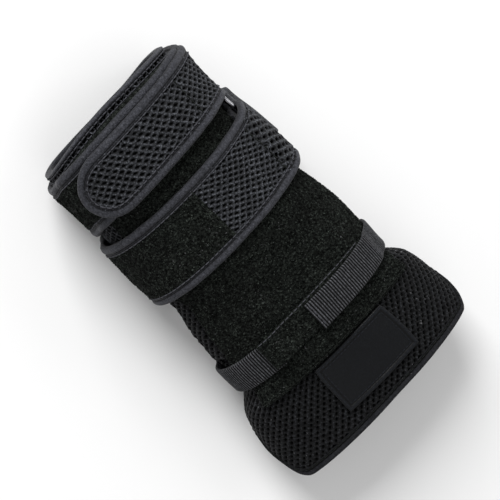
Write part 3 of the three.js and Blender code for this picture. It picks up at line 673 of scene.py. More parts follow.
def nap(spot, u, v, height, seed):
    """Tiny sunk-ended thread loops that stand on a loop-fabric face."""
    rng = np.random.default_rng(seed)
    here, up, along, across = spot_axes(spot, u, v, 0.0)
    count = len(u)
    angle = rng.uniform(0, 2 * np.pi, (count, 1))
    out = np.cos(angle) * along + np.sin(angle) * across
    side = np.cos(angle) * across - np.sin(angle) * along
    size = rng.uniform(*NAP_SIZES, (count, 1))
    lean = rng.uniform(-NAP_LEAN, NAP_LEAN, (count, 1)) * height
    foot_a = here - NAP_SPREAD * size * out - NAP_ROOT * up
    foot_b = here + NAP_SPREAD * size * out - NAP_ROOT * up
    top = here + height * size * up + lean * side
    thread = NAP_THREAD * rng.uniform(*NAP_THREADS, (count, 1))
    points = [
        middle + thread * (math.cos(k) * a + math.sin(k) * b)
        for middle, a, b in ((foot_a, side, out), (top, side, -up), (foot_b, side, -out))
        for k in THREAD_TURNS
    ]
    # Painted shade at each loop's feet and painted light at its top, times a random tone for each loop
    painted_lights = np.repeat([0.1, 1.0, 0.1], 3)[None] * rng.uniform(*NAP_SHADES, (count, 1))
    return repeated(np.stack(points, axis=1), 3, painted_lights)


def loops(name, spot, area, u_range, v_range, seed, height=1.0, finish="loop nap", shown=None):
    """Nap of a loop-fabric face, spread over an area in square millimetres."""
    fabric = bpy.context.scene.glove_fabric
    rng = np.random.default_rng(seed)
    count = int(fabric.nap_density * area)
    u = rng.uniform(*u_range, count)
    v = rng.uniform(*v_range, count)
    if shown:
        kept = shown(u, v)
        u, v = u[kept], v[kept]
    part = nap(spot, u, v, height * fabric.nap_height / MM, seed + 1)
    return make_piece(name, [part], finish)


def stitches(spot, u, v, height, seed, radius=STITCH_RADIUS, length=None):
    """A row of sewn stitches along a line of u and v on a face."""
    fabric = bpy.context.scene.glove_fabric
    rng = np.random.default_rng(seed)
    u, v = np.broadcast_arrays(np.asarray(u, float), np.asarray(v, float))
    line = spot(u, v, height)
    travelled = np.concatenate([[0.0], np.cumsum(np.linalg.norm(np.diff(line, axis=0), axis=1))])
    long = length or fabric.stitch_length / MM
    count = max(1, int(travelled[-1] / (long + fabric.stitch_gap / MM)))
    starts = (np.arange(count) + 0.5) * travelled[-1] / count
    at = starts[:, None] + STITCH_SHARES[None] * long * rng.uniform(*STITCH_LENGTHS, (count, 1))
    rise = height + STITCH_RISES[None] * radius / STITCH_RADIUS
    rise = np.broadcast_to(rise, at.shape)
    at_u, at_v = np.interp(at, travelled, u), np.interp(at, travelled, v)
    middle, up, _, _ = spot_axes(spot, at_u, at_v, rise)
    side = unit(np.cross(unit(np.gradient(middle, axis=1)), up))
    thick = radius * STITCH_THICKNESS[None, :, None]
    angles = 2 * np.pi * np.arange(STITCH_SIDES) / STITCH_SIDES
    rings = [middle + thick * (math.cos(a) * side + math.sin(a) * up) for a in angles]
    return repeated(np.stack(rings, axis=2).reshape(count, -1, 3), STITCH_SIDES)


def row_across(spot, s, reach, count, height, seed, **more):
    """Stitches straight across a ply."""
    return stitches(spot, s, np.linspace(-reach, reach, count), height, seed, **more)


def row_round(edge_at, inward, distance, proud, height, seed):
    """Stitches round a whole opening, at a distance from its edge."""
    spot = lambda u, v, h: surface(edge_at(u) + inward * v, u, PAD + proud + h)
    return stitches(spot, np.arange(0, 361, 1.0), distance, height, seed)


def with_profile_light(part):
    points, faces = part
    # Painted light across the tape from the profile's last column; the caps get a middling share
    count = len(points) // len(TAPE_PROFILE) * len(TAPE_PROFILE)
    painted_lights = np.resize(TAPE_PROFILE[:, 2], len(points))
    painted_lights[count:] = 0.5
    return points, faces, painted_lights


def tape(place, s, q, ds, dq, seed):
    """Folded edge tape of a strap along s and q, where ds and dq point out of the ply."""
    count = len(s)
    noise = np.random.default_rng(seed).normal(0, 1, (3, count + 16))
    slow = [np.convolve(row, EVEN_OUT, mode="same")[8:8 + count, None] for row in noise]
    low, high = -STRAP / 2, STRAP / 2 + STRAP_BINDING_PROUD
    out = STRAP_BINDING / 2 * TAPE_OUT * (1 + TAPE_WIDTHS * slow[0])
    rise = (low + high) / 2 + TAPE_RISE * (high - low) / 2
    rise = rise + TAPE_TOP * (TAPE_PUCKER * slow[1] + TAPE_TWIST * slow[2] * np.sin(3 * TAPE_OUT))
    rings = place(s[:, None] + out * ds[:, None], q[:, None] + out * dq[:, None], rise)
    return with_profile_light(swept(rings))


def edge_tape(edge_at, width, inward, seed):
    """Folded tape round a whole opening."""
    turns = np.arange(0, 360, 1.5)
    noise = np.random.default_rng(seed).normal(0, 1, len(turns) + 6)
    slow = np.convolve(noise, EVEN_OUT, mode="valid")[:, None]
    out = width / 2 * (1 - TAPE_OUT) * (1 + RIM_WIDTHS * slow)
    high = PAD + BINDING_PROUD
    rise = high / 2 + TAPE_RISE * high / 2 + TAPE_PUCKER * slow * TAPE_TOP
    rings = surface(edge_at(turns)[:, None] + inward * out, turns[:, None], rise)
    return with_profile_light(swept(rings, closed=True))


def tape_both_edges(strap, band, edge, count, tape_seed, stitch_seed):
    """Tapes along both edges of a strap. Gives the rows of stitches on them."""
    s = np.append(np.arange(0, band.length, 1.0), band.length)
    line = np.linspace(1, band.length - 1, count)
    rows = []
    for k, (side, name) in enumerate(((-1, "rim"), (1, "hand"))):
        node = f"{strap}_{name}_binding"
        binding = tape(band.place, s, 0 * s + side * edge, 0 * s, 0 * s + side, tape_seed + k)
        dress(node, binding, "edge tape")
        spot = band.face(STRAP)
        inset = side * (edge - STITCH_INSET)
        rows.append(stitches(spot, line, inset, STRAP_BINDING_PROUD, stitch_seed + 2 * k))
    return rows


def ripple(u, v, seed):
    """Fine uneven height between -1 and 1, the same on each run."""
    rng = np.random.default_rng(seed)
    total = np.zeros_like(u * v)
    for length in (9.0, 5.3, 3.7, 2.6, 1.9):
        for _ in range(3):
            angle, phase = rng.uniform(0, 2 * np.pi, 2)
            total = total + np.sin(2 * np.pi * (u * math.cos(angle) + v * math.sin(angle)) / length + phase)
    return total / 9.0


def ply_sheet(band, start, end, half, thickness, seed, step, radius=0.7, least=0.4, rough=0.1, lift=None):
    """A flat ply with rounded edges between two distances along its band."""
    length = end - start

    def at(a, b, face):
        s = start + a * length
        q = half * (2 * b - 1)
        near = np.minimum(end_distance(a, length), end_distance(b, 2 * half))
        h = thickness * (face - 0.5) * edge_round(near, radius, least)
        h = h + rough * face * ripple(s, q, seed)
        return band.place(s, q, h + face * lift(s, q) if lift else h)

    along = fine_shares(length, step, soft=min(1.5, length / 4))
    return closed_sheet(at, along, fine_shares(2 * half, step * 1.6, soft=min(1.5, half / 2)))


# What lies on the pads, for leaving out mesh and nap that nothing shows

def under_band(x, turn, line, width, start, end):
    around = np.mod(turn - start, 360) + start
    middle = line(np.clip(around, line.keys[0], line.keys[-1]))
    beside = np.abs(x - middle) < width / 2 - COVER_MARGIN
    return beside & (around > start + 1) & (around < end - 1)


def under_straps(x, turn):
    covers = [
        (BASE_LINE, BASE_WIDTH, BASE_START, STRAP_END),
        (STRAP_2_LINE, STRAP_2_WIDTH, STRAP_2_COVER_START, STRAP_END),
        (WEBBING_LINE, WEBBING_WIDTH, WEBBING_SEWN_END, BRIDGE_START),
        (BRIDGE_LINE, BRIDGE_WIDTH, BRIDGE_START, BRIDGE_END),
    ]
    return np.any([under_band(x, turn, *cover) for cover in covers], axis=0)


def panel_edges(x):
    return PANEL_SEWN_FROM(x / LENGTH), PANEL_SEWN_TO(x / LENGTH)


def under_panel(x, turn):
    around = np.mod(turn + 90, 360) - 90
    first, last = panel_edges(x)
    inside = (around > first + PANEL_MARGIN) & (around < last - PANEL_MARGIN)
    inside = inside & (x > PANEL_START + rim_edge(turn) + PANEL_MARGIN)
    return inside & (x < PANEL_END + PANEL_SLANT * np.cos(np.radians(turn)) - PANEL_MARGIN)


# Finishes

class Tree:
    """Short ways to add and join nodes."""

    def __init__(self, tree):
        self.tree = tree

    def node(self, kind, inputs=(), **settings):
        node = self.tree.nodes.new(kind)
        for key, value in settings.items():
            setattr(node, key, value)
        return self.feed(node, dict(inputs))

    def feed(self, node, values):
        """Joins another node's output to each named input, or sets its value."""
        for name, value in values.items():
            if isinstance(value, bpy.types.NodeSocket):
                self.tree.links.new(value, node.inputs[name])
            else:
                node.inputs[name].default_value = value
        return node

    def math(self, operation, a, b=0.0, clamp=False):
        return self.node("ShaderNodeMath", {0: a, 1: b}, operation=operation, use_clamp=clamp).outputs[0]

    def noise(self, vector, scale, detail=2.0, rough=0.5):
        inputs = {"Vector": vector, "Scale": scale, "Detail": detail, "Roughness": rough}
        return self.node("ShaderNodeTexNoise", inputs).outputs["Fac"]

    def band(self, value, low, high, to_low=0.0, to_high=1.0):
        inputs = {"Value": value, "From Min": low, "From Max": high, "To Min": to_low, "To Max": to_high}
        return self.node("ShaderNodeMapRange", inputs, interpolation_type="SMOOTHSTEP").outputs["Result"]

    def mixed(self, share, a, b, blend="MIX"):
        inputs = {0: share, 6: a, 7: b}
        return self.node("ShaderNodeMix", inputs, data_type="RGBA", blend_type=blend).outputs[2]

    def grey(self, value):
        return self.node("ShaderNodeCombineColor", {0: value, 1: value, 2: value}).outputs[0]

    def place(self):
        return self.node("ShaderNodeTexCoord").outputs["Object"]


def new_group(name, inputs, outputs):
    """An empty node group with its sockets, its input node and its output node."""
    group = bpy.data.node_groups.new(name, "ShaderNodeTree")
    for title, default in inputs.items():
        kind = "NodeSocketFloat" if isinstance(default, float) else "NodeSocketColor"
        socket = group.interface.new_socket(title, in_out="INPUT", socket_type=kind)
        socket.default_value = default
    for title, kind in outputs.items():
        group.interface.new_socket(title, in_out="OUTPUT", socket_type=kind)
    t = Tree(group)
    return group, t, t.node("NodeGroupInput").outputs, t.node("NodeGroupOutput")


def yarn_group():
    """Fine yarn: a colour that varies from thread to thread, with its height and gloss."""
    found = bpy.data.node_groups.get("Yarn")
    if found:
        return found
    inputs = {
        "Colour": (0.05, 0.05, 0.055, 1), "Light Colour": (0.1, 0.1, 0.11, 1),
        "Thread Width": 0.35, "Contrast": 0.5, "Mottle": 0.15,
    }
    outputs = {"Colour": "NodeSocketColor", "Height": "NodeSocketFloat", "Roughness": "NodeSocketFloat"}
    group, t, given, result = new_group("Yarn", inputs, outputs)
    place = t.place()
    finer = t.math("DIVIDE", 1 / MM, given["Thread Width"])
    across = t.node("ShaderNodeVectorMath", {0: place, "Scale": finer}, operation="SCALE").outputs[0]
    inputs = {"Vector": across, "Scale": 0.55, "Smoothness": 0.4}
    cells = t.node("ShaderNodeTexVoronoi", inputs, feature="SMOOTH_F1")
    loop = t.band(cells.outputs["Distance"], 0.05, 0.75, 1.0, 0.0)
    slow = t.noise(place, 160.0, 3.0)
    patches = t.noise(place, 950.0, 4.0, 0.75)
    share = t.math("MULTIPLY", loop, given["Contrast"])
    share = t.math("MULTIPLY", share, t.math("ADD", t.math("MULTIPLY", slow, 1.2), 0.15), clamp=True)
    colour = t.mixed(share, given["Colour"], given["Light Colour"])
    spread = t.math("MULTIPLY", t.band(patches, 0.36, 0.64, -1.0, 1.0), given["Mottle"])
    colour = t.mixed(1.0, colour, t.grey(t.math("ADD", spread, 1.0)), "MULTIPLY")
    height = t.math("ADD", loop, t.math("MULTIPLY", slow, 0.4))
    t.feed(result, {"Colour": colour, "Height": height, "Roughness": t.band(slow, 0.3, 0.7, 0.68, 0.92)})
    return group


def lint_group():
    """Sparse pale fibres and dust on dark fabric."""
    found = bpy.data.node_groups.get("Lint")
    if found:
        return found
    inputs = {"Colour": (0.02, 0.02, 0.02, 1), "Lint Colour": (0.3, 0.3, 0.3, 1), "Amount": 0.5}
    group, t, given, result = new_group("Lint", inputs, {"Colour": "NodeSocketColor"})
    place = t.place()
    specks = t.band(t.noise(place, 900.0, 1.0), 0.68, 0.76)
    where = t.band(t.noise(place, 70.0, 2.0), 0.42, 0.68)
    share = t.math("MULTIPLY", t.math("MULTIPLY", specks, where), given["Amount"], clamp=True)
    t.feed(result, {"Colour": t.mixed(share, given["Colour"], given["Lint Colour"])})
    return group


def new_finish(name):
    finish = bpy.data.materials.new(name)
    finish.use_nodes = True
    return finish, Tree(finish.node_tree), finish.node_tree.nodes["Principled BSDF"]


def darker(colour, share):
    return (colour[0] * share, colour[1] * share, colour[2] * share, 1.0)


LINT_COLOUR = (0.22, 0.22, 0.23, 1)
# hollow is the share of its colour that a fabric keeps in the deepest painted shade
USUAL = dict(lint=0.3, sheen=0.05, distance=0.00025, rough=None, hollow=0.2, gloss=0.12, mottle=0.2)

# Each fabric's colour, its dark and its light share of it, thread width, contrast, bump, and
# what differs from the usual
FABRICS = {
    "knitted mesh": ("mesh", 0.55, 3.4, 0.45, 0.9, 0.5, dict(lint=0.1, hollow=0.0, mottle=0.45)),
    "dark knitted mesh": ("mesh", 0.11, 0.76, 0.45, 0.9, 0.5, dict(lint=0.6, hollow=0.0, mottle=0.8)),
    "pad core": ("mesh", 0.03, 0.08, 0.6, 0.5, 0.4, dict(lint=0.0, sheen=0.0, gloss=0.02)),
    "edge tape": ("tape", 1.0, 2.2, 0.4, 0.6, 0.5, dict(sheen=0.08, hollow=0.1, mottle=0.4)),
    "dark edge tape": ("tape", 0.3, 0.8, 0.4, 0.6, 0.5, dict(hollow=0.1, mottle=0.4)),
    "loop fabric": (
        "loop", 1.2, 5.5, 0.7, 0.9, 0.9, dict(sheen=0.0, distance=0.0005, gloss=0.05, mottle=0.95),
    ),
    "loop nap": ("loop", 2.0, 17.0, 1.1, 1.0, 0.2, dict(sheen=0.0, gloss=0.08, hollow=0.05, mottle=0.9)),
    "brushed tab": ("mesh", 0.5, 1.8, 0.7, 0.9, 0.8, dict(lint=0.4, mottle=0.8)),
    "brushed tab nap": ("mesh", 0.9, 4.0, 1.0, 1.0, 0.2, dict(sheen=0.0, gloss=0.08, hollow=0.1, mottle=0.7)),
    "ribbed webbing": ("webbing", 0.7, 2.4, 0.35, 0.7, 0.3, dict(lint=0.1, hollow=0.0, mottle=0.35)),
    "sewing thread": ("thread", 1.0, 1.6, 0.3, 0.5, 0.3, dict(lint=0.0)),
    "dark thread": ("loop", 1.6, 3.0, 0.3, 0.5, 0.3, dict(lint=0.0)),
    "patch thread": ("label", 2.6, 4.0, 0.3, 0.5, 0.3, dict(lint=0.0)),
    "satin patch": ("label", 0.8, 1.7, 0.28, 0.5, 0.25, dict(lint=0.05, rough=0.42, gloss=0.16)),
}


def fabric_finish(name):
    """Yarn with lint on it, with painted shade in its hollows and painted highlights on its tops, under a
    soft sheen.
    """
    hue, dark, light, thread, contrast, bump, more = FABRICS[name]
    colour = getattr(bpy.context.scene.glove_colours, hue)
    own = {**USUAL, **more}
    finish, t, shader = new_finish(name)
    yarn = t.node("ShaderNodeGroup", {
        "Colour": darker(colour, dark), "Light Colour": darker(colour, light), "Thread Width": thread,
        "Contrast": contrast, "Mottle": own["mottle"],
    }, node_tree=yarn_group())
    dust = t.node("ShaderNodeGroup", {
        "Colour": yarn.outputs["Colour"], "Lint Colour": LINT_COLOUR, "Amount": own["lint"],
    }, node_tree=lint_group())
    # Painted shade and highlight: the colour is multiplied by each point's stored light share, raised so that
    # the deepest hollow keeps the share hollow
    crown = t.node("ShaderNodeAttribute", attribute_name="crown").outputs["Fac"]
    depth = t.math("ADD", t.math("MULTIPLY", crown, 1 - own["hollow"]), own["hollow"])
    relief = t.node("ShaderNodeBump", {
        "Strength": bump, "Distance": own["distance"], "Height": yarn.outputs["Height"],
    })
    t.feed(shader, {
        "Base Color": t.mixed(1.0, dust.outputs["Colour"], t.grey(depth), "MULTIPLY"),
        "Roughness": yarn.outputs["Roughness"] if own["rough"] is None else own["rough"],
        "Normal": relief.outputs["Normal"], "Sheen Weight": own["sheen"], "Sheen Roughness": 0.45,
        "Specular IOR Level": own["gloss"],
    })
    return finish


def ring_finish(name):
    """Glossy dark wire, worn paler in places."""
    finish, t, shader = new_finish(name)
    place = t.place()
    worn = t.math("MULTIPLY", t.band(t.noise(place, 420.0, 3.0), 0.58, 0.72), 0.35)
    colour = tuple(bpy.context.scene.glove_colours.wire)
    t.feed(shader, {
        "Base Color": t.mixed(worn, colour, (0.12, 0.12, 0.13, 1)),
        "Roughness": t.band(t.noise(place, 240.0, 2.0), 0.3, 0.7, 0.1, 0.22),
        "Metallic": 1.0, "Coat Weight": 0.5,
    })
    return finish


def finish_named(name):
    """A finish, made the first time that a piece asks for it."""
    found = bpy.data.materials.get(name)
    return found or (fabric_finish(name) if name in FABRICS else ring_finish(name))


def colour_prop(name, description, default):
    return FloatVectorProperty(
        name=name, description=description, subtype="COLOR", size=4, min=0.0, max=1.0, default=default,
    )


def length_prop(name, description, default, low, high):
    return FloatProperty(
        name=name, description=description, default=default, min=low, max=high, unit="LENGTH",
    )


class GloveColours(bpy.types.PropertyGroup):
    """Colours of the glove's fabrics and metal."""

    mesh: colour_prop("Mesh", "Knitted mesh of the pads and straps", (0.034, 0.036, 0.041, 1))
    tape: colour_prop("Edge tape", "Folded tape along the edges", (0.031, 0.032, 0.038, 1))
    loop: colour_prop("Loop fabric", "Ground of the loop fabric", (0.0040, 0.0047, 0.0041, 1))
    webbing: colour_prop("Webbing", "Ribbed webbing round the palm", (0.075, 0.077, 0.084, 1))
    thread: colour_prop("Thread", "Sewing thread", (0.050, 0.051, 0.059, 1))
    label: colour_prop("Patch", "Bare satin patch", (0.0042, 0.0048, 0.0061, 1))
    wire: colour_prop("Ring", "Ring wire", (0.32, 0.32, 0.34, 1))
    floor: colour_prop("Floor", "Floor under the glove", (0.9, 0.9, 0.9, 1))


class GloveFabric(bpy.types.PropertyGroup):
    """Sizes of the glove's fabric details."""

    mesh_scale: FloatProperty(
        name="Mesh scale", description="Scale of the distances between mesh holes", default=1.0,
        min=0.7, max=1.6, subtype="FACTOR",
    )
    nap_density: FloatProperty(
        name="Nap density", description="Loops on each square millimetre", default=1.35,
        min=0.1, max=2.0, subtype="FACTOR",
    )
    nap_height: length_prop("Nap height", "Height of the loops on loop fabric", 0.0004, 0.0002, 0.002)
    stitch_length: length_prop("Stitch length", "Length of one stitch", 0.0024, 0.001, 0.006)
    stitch_gap: length_prop("Stitch gap", "Gap between two stitches", 0.0003, 0.0001, 0.003)
    rib_pitch: length_prop("Rib pitch", "Distance between the webbing's ribs", 0.00112, 0.0008, 0.003)
    slack: length_prop("Slack", "Height of the slow waves in the fabric", 0.0006, 0.0, 0.0015)


# Pads

def open_edge_drop(distance):
    return OPEN_DROP * (1 - edge_round(distance, OPEN_EDGE))


def padded_tube(name, start_at, end_at, from_open, at_x, x_range, shown, steps, hole, finish, seed):
    """A padded tube between two edges, rounded at its open end, and its mesh skin."""
    def core_at(a, b, face):
        turn = 360 * b
        x = start_at(turn) + a * (end_at(turn) - start_at(turn))
        drop = open_edge_drop(from_open(x))
        return surface(x, turn, PAD - NET_DEPTH - drop if face else 0.8 * drop)

    along = fine_shares(float(end_at(90) - start_at(90)), 2.0)
    core = closed_sheet(core_at, along, np.arange(120) / 120, wrap=True)
    dress(name, core, "pad core")
    unrolled = Unrolled(at_x)

    def keep(u, v):
        turn = unrolled.turn_at(u)
        return shown(v, turn) & ~under_straps(v, turn) & ~under_panel(v, turn)

    spot = lambda u, v, h: surface(v, unrolled.turn_at(u), PAD + h - open_edge_drop(from_open(v)))
    u_range = unrolled.arc_at(-90), unrolled.arc_at(270)
    cells = net(spot, u_range, x_range, keep, steps, hole, seed, closes=True)
    make_piece(f"{name}_mesh", [cells], finish)


class GLOVE_OT_cuff(bpy.types.Operator):
    """Make the padded cuff with its mesh skin, edge tape and stitches"""

    bl_idname = "glove.cuff"
    bl_label = "Cuff"

    def execute(self, context):
        def shown(x, turn):
            # Painted shade: the mesh is left out by the ring, so the near-black pad core shows there
            beside = np.abs(turn - RING_SHADE_TURN) < RING_SHADE_REACH
            ring_shade = beside & (x > RING_SHADE_X[0]) & (x < RING_SHADE_X[1])
            return (x > rim_edge(turn) + RIM_BINDING) & (x < CUFF_END - 0.8) & ~ring_shade

        padded_tube(
            "cuff", lambda turn: rim_edge(turn) + RIM_BINDING - 0.2, lambda turn: CUFF_END,
            lambda x: CUFF_END - x, CUFF_END / 2, (2.0, CUFF_END), shown, STRAP_NET, CUFF_HOLE,
            "knitted mesh", seed=11,
        )
        binding = edge_tape(rim_edge, RIM_BINDING, 1, seed=12)
        dress("cuff_binding", binding, "edge tape")
        rows = [
            row_round(rim_edge, 1, 0.82 * RIM_BINDING, BINDING_PROUD, 0.0, seed=13),
            row_round(rim_edge, 1, RIM_BINDING + 1.6, 0.0, 0.05, seed=14),
        ]
        make_piece("cuff_stitches", rows, "sewing thread")
        return {"FINISHED"}


class GLOVE_OT_hand_band(bpy.types.Operator):
    """Make the padded hand band with its mesh skin, knuckle tape and stitches"""

    bl_idname = "glove.hand_band"
    bl_label = "Hand band"

    def execute(self, context):
        taped = lambda turn: knuckle_edge(turn) - KNUCKLE_BINDING
        shown = lambda x, turn: (x > BAND_START + 0.8) & (x < taped(turn) + 0.3)
        padded_tube(
            "hand_band", lambda turn: BAND_START, lambda turn: taped(turn) + 0.2,
            lambda x: x - BAND_START, FLARE_START + 14, (BAND_START, LENGTH), shown, BAND_NET, BAND_HOLE,
            "dark knitted mesh", seed=21,
        )
        binding = edge_tape(knuckle_edge, KNUCKLE_BINDING, -1, seed=22)
        dress("knuckle_binding", binding, "dark edge tape")
        row = row_round(knuckle_edge, -1, 0.84 * KNUCKLE_BINDING, BINDING_PROUD, 0.0, seed=23)
        make_piece("knuckle_stitches", [row], "dark thread")
        return {"FINISHED"}


def panel_x(x, turn):
    """Place along the glove of a panel row that crosses the back at x."""
    start = rim_edge(turn) * (1 - smooth((x - PANEL_START) / (RIM_FOLLOWED - PANEL_START)))
    slant = PANEL_SLANT * np.cos(np.radians(turn)) * smooth((x - FLARE_START) / (PANEL_END - FLARE_START))
    return x + start + slant


def panel_top(near):
    return PAD + CLEAR + PANEL_LEAST + (PANEL - PANEL_LEAST) * edge_round(near, PANEL_ROUND)


def panel_spot(turn, x, h):
    near = np.minimum(x - PANEL_START, PANEL_END - x)
    return surface(panel_x(x, turn), turn, panel_top(near) + h)


def pad_swell(x, turn):
    """Rise of the back pad beside the panel on the tip side."""
    side = smooth((turn - PAD_SWELL_TURN) / 10) * smooth((BAND_START - x) / 3)
    return PAD_SWELL * side * (0.9 + 0.6 * smooth((x - CUFF_END) / (BAND_START - CUFF_END)))


class GLOVE_OT_back_panel(bpy.types.Operator):
    """Make the back pad and the loop-fabric panel with its nap and edge stitches"""

    bl_idname = "glove.back_panel"
    bl_label = "Back panel"

    def execute(self, context):
        from_x, to_x = CUFF_END + CLEAR, BAND_START - CLEAR

        def pad_at(a, b, face):
            x = from_x + a * (to_x - from_x)
            turn = BACK_PAD_START + b * (BACK_PAD_END - BACK_PAD_START)
            body = PAD * (0.5 + (face - 0.5) * edge_round(end_distance(b, PAD_ARC), OPEN_EDGE, 0.15))
            return surface(x, turn, body + face * (pad_swell(x, turn) - NET_DEPTH))

        pad = closed_sheet(pad_at, np.linspace(0, 1, 24), fine_shares(PAD_ARC, 2.0))
        dress("back_pad", pad, "pad core")
        unrolled = Unrolled((from_x + to_x) / 2)
        first, last = unrolled.arc_at(BACK_PAD_START), unrolled.arc_at(BACK_PAD_END)

        def pad_face(u, v, h):
            turn = unrolled.turn_at(u)
            round_off = PAD * (edge_round(np.minimum(last - u, u - first), OPEN_EDGE) - 1)
            return surface(v, turn, PAD + pad_swell(v, turn) + round_off + h)

        def keep(u, v):
            inside = (v > from_x + 0.6) & (v < to_x - 0.3) & (u > first + 0.4) & (u < last - 0.4)
            return inside & ~under_panel(v, unrolled.turn_at(u))

        cells = net(pad_face, (first, last), (from_x, to_x), keep, BAND_NET, BACK_PAD_HOLE, seed=37)
        make_piece("back_pad_mesh", [cells], "dark knitted mesh")

        def panel_at(a, b, face):
            x = PANEL_START + a * PANEL_LENGTH
            start, end = panel_edges(x)
            turn = start + b * (end - start)
            near = np.minimum(end_distance(a, PANEL_LENGTH), end_distance(b, PANEL_WIDE))
            top = panel_top(near) + 0.12 * ripple(x, turn * 0.75, seed=31) * edge_round(near, 2.0)
            return surface(panel_x(x, turn), turn, top if face else PAD + CLEAR)

        shares = [fine_shares(length, 1.3, PANEL_ROUND) for length in (PANEL_LENGTH, PANEL_WIDE)]
        panel = closed_sheet(panel_at, *shares)
        piece = dress("back_panel", panel, "loop fabric")

        def shown(turn, x):
            start, end = panel_edges(x)
            return (turn > start + 1.4) & (turn < end - 1.4) & ~under_straps(panel_x(x, turn), turn)

        naps = loops(
            "back_panel_nap", panel_spot, PANEL_LENGTH * PANEL_WIDE, PANEL_TURNS,
            (PANEL_START + 1, PANEL_END - 0.8), seed=32, shown=shown,
        )
        end_x = np.full(160, PANEL_END - PANEL_END_SEAM)
        start, end = panel_edges(end_x)
        side_x = np.linspace(PANEL_START + 2, PANEL_END - 2, 220)
        side_start, side_end = panel_edges(side_x)
        rows = [
            stitches(panel_spot, start + np.linspace(0, 1, 160) * (end - start), end_x, 0.25, seed=34),
            stitches(panel_spot, side_start + PANEL_SEAM, side_x, 0.1, seed=35),
            stitches(panel_spot, side_end - PANEL_SEAM, side_x, 0.1, seed=36),
        ]
        sewn = make_piece("back_panel_stitches", rows, "dark thread")
        return {"FINISHED"}


class GLOVE_OT_label(bpy.types.Operator):
    """Make the bare satin patch with its stitched border"""

    bl_idname = "glove.label"
    bl_label = "Patch"

    def execute(self, context):
        start = PANEL_END + LABEL_GAP
        unrolled = Unrolled(start + LABEL_WIDTH / 2)
        middle = unrolled.arc_at(90) - LABEL_SHIFT

        def spot(u, v, h):
            turn = unrolled.turn_at(middle + u)
            slant = PANEL_SLANT * np.cos(np.radians(turn))
            return surface(start + slant + LABEL_WIDTH / 2 + v, turn, PAD + CLEAR + LABEL + h)

        def border_distance(a, b):
            return np.minimum(end_distance(a, LABEL_WIDTH), end_distance(b, LABEL_LENGTH))

        def at(a, b, face):
            near = border_distance(a, b)
            hem = LABEL_HEM * smooth((LABEL_BORDER - near) / 0.5)
            h = (LABEL + hem) * edge_round(near, 0.6, 0.3) if face else 0.0
            return spot(LABEL_LENGTH * (b - 0.5), LABEL_WIDTH * (a - 0.5), h - LABEL)

        def shares(length):
            inner = np.linspace(3.0, length - 3.0, int(length))
            return np.concatenate([LABEL_STEPS, inner, length - LABEL_STEPS[::-1]]) / length

        a, b = shares(LABEL_WIDTH), shares(LABEL_LENGTH)
        points, faces = closed_sheet(at, a, b)
        near = border_distance(a[:, None], b[None, :])
        # Painted highlight on the hem and painted shade beside it, over the patch's border
        crown = np.interp(near, *zip(*LABEL_PAINTED_LIGHT))
        patch = (points, faces, np.resize(crown.ravel(), len(points)))
        piece = dress("label_patch", patch, "satin patch")
        rows = []
        for inset, height, seed in ((1.3, 0.35, 41), (3.0, 0.08, 42)):
            u, v = LABEL_LENGTH / 2 - inset, LABEL_WIDTH / 2 - inset
            at_share = np.linspace(0, 4, 241)
            line_u = np.interp(at_share, range(5), [-u, u, u, -u, -u])
            line_v = np.interp(at_share, range(5), [-v, -v, v, v, -v])
            rows.append(stitches(spot, line_u, line_v, height, seed, radius=0.2, length=1.9))
        sewn = make_piece("label_stitches", rows, "patch thread")
        return {"FINISHED"}


# Straps

def ring_frame():
    middle = STRAP_2_LINE(10)
    from_x = middle - STRAP_2_WIDTH / 2 - RING_REACH
    to_x = middle + STRAP_2_WIDTH / 2 + RING_MARGIN + WIRE
    unrolled = Unrolled(middle)
    off = PAD + CLEAR + max(TAB, STRAP_BINDING_PROUD + STRAP) + CLEAR + WIRE / 2
    upper = unrolled.arc_at(RING_TURN)
    return unrolled, upper, upper - RING_SPACING, off, from_x, to_x


def band_on_seat(x, start, end, over, line):
    """Band that lies round the glove, its middle a height over its seat."""
    unrolled = Unrolled(x)
    return Band(unrolled, *lying(unrolled, start, end, lambda turn: seat(x, turn) + over), line)


def strap_2_band():
    unrolled, upper, _, off, _, _ = ring_frame()
    radius = WIRE / 2 + CLEAR + STRAP / 2

    def settling(turn):
        past = (unrolled.arc_at(turn) - upper - RETURN_PLY) / SETTLE
        seated = seat(STRAP_2_LINE(10) + STRAP_2_WIDTH / 2, turn) + STRAP / 2
        return seated + (off + radius - seated) * (1 - smooth(past))

    over_arc, over_off = lying(unrolled, RING_TURN, STRAP_END, settling)
    fold_arc, fold_off = folded(upper, off, radius, 1)
    start_arc = upper + np.array([RETURN_PLY, RETURN_PLY / 2])
    arcs = np.concatenate([start_arc, fold_arc, over_arc[1:]])
    offs = np.concatenate([np.full(2, off - radius), fold_off, over_off[1:]])
    seam = RETURN_PLY + math.pi * radius + unrolled.arc_at(SEAM_TURN) - upper
    return Band(unrolled, arcs, offs, STRAP_2_LINE), seam


def mesh_core_height(face):
    return STRAP / 2 - NET_DEPTH if face else -STRAP / 2


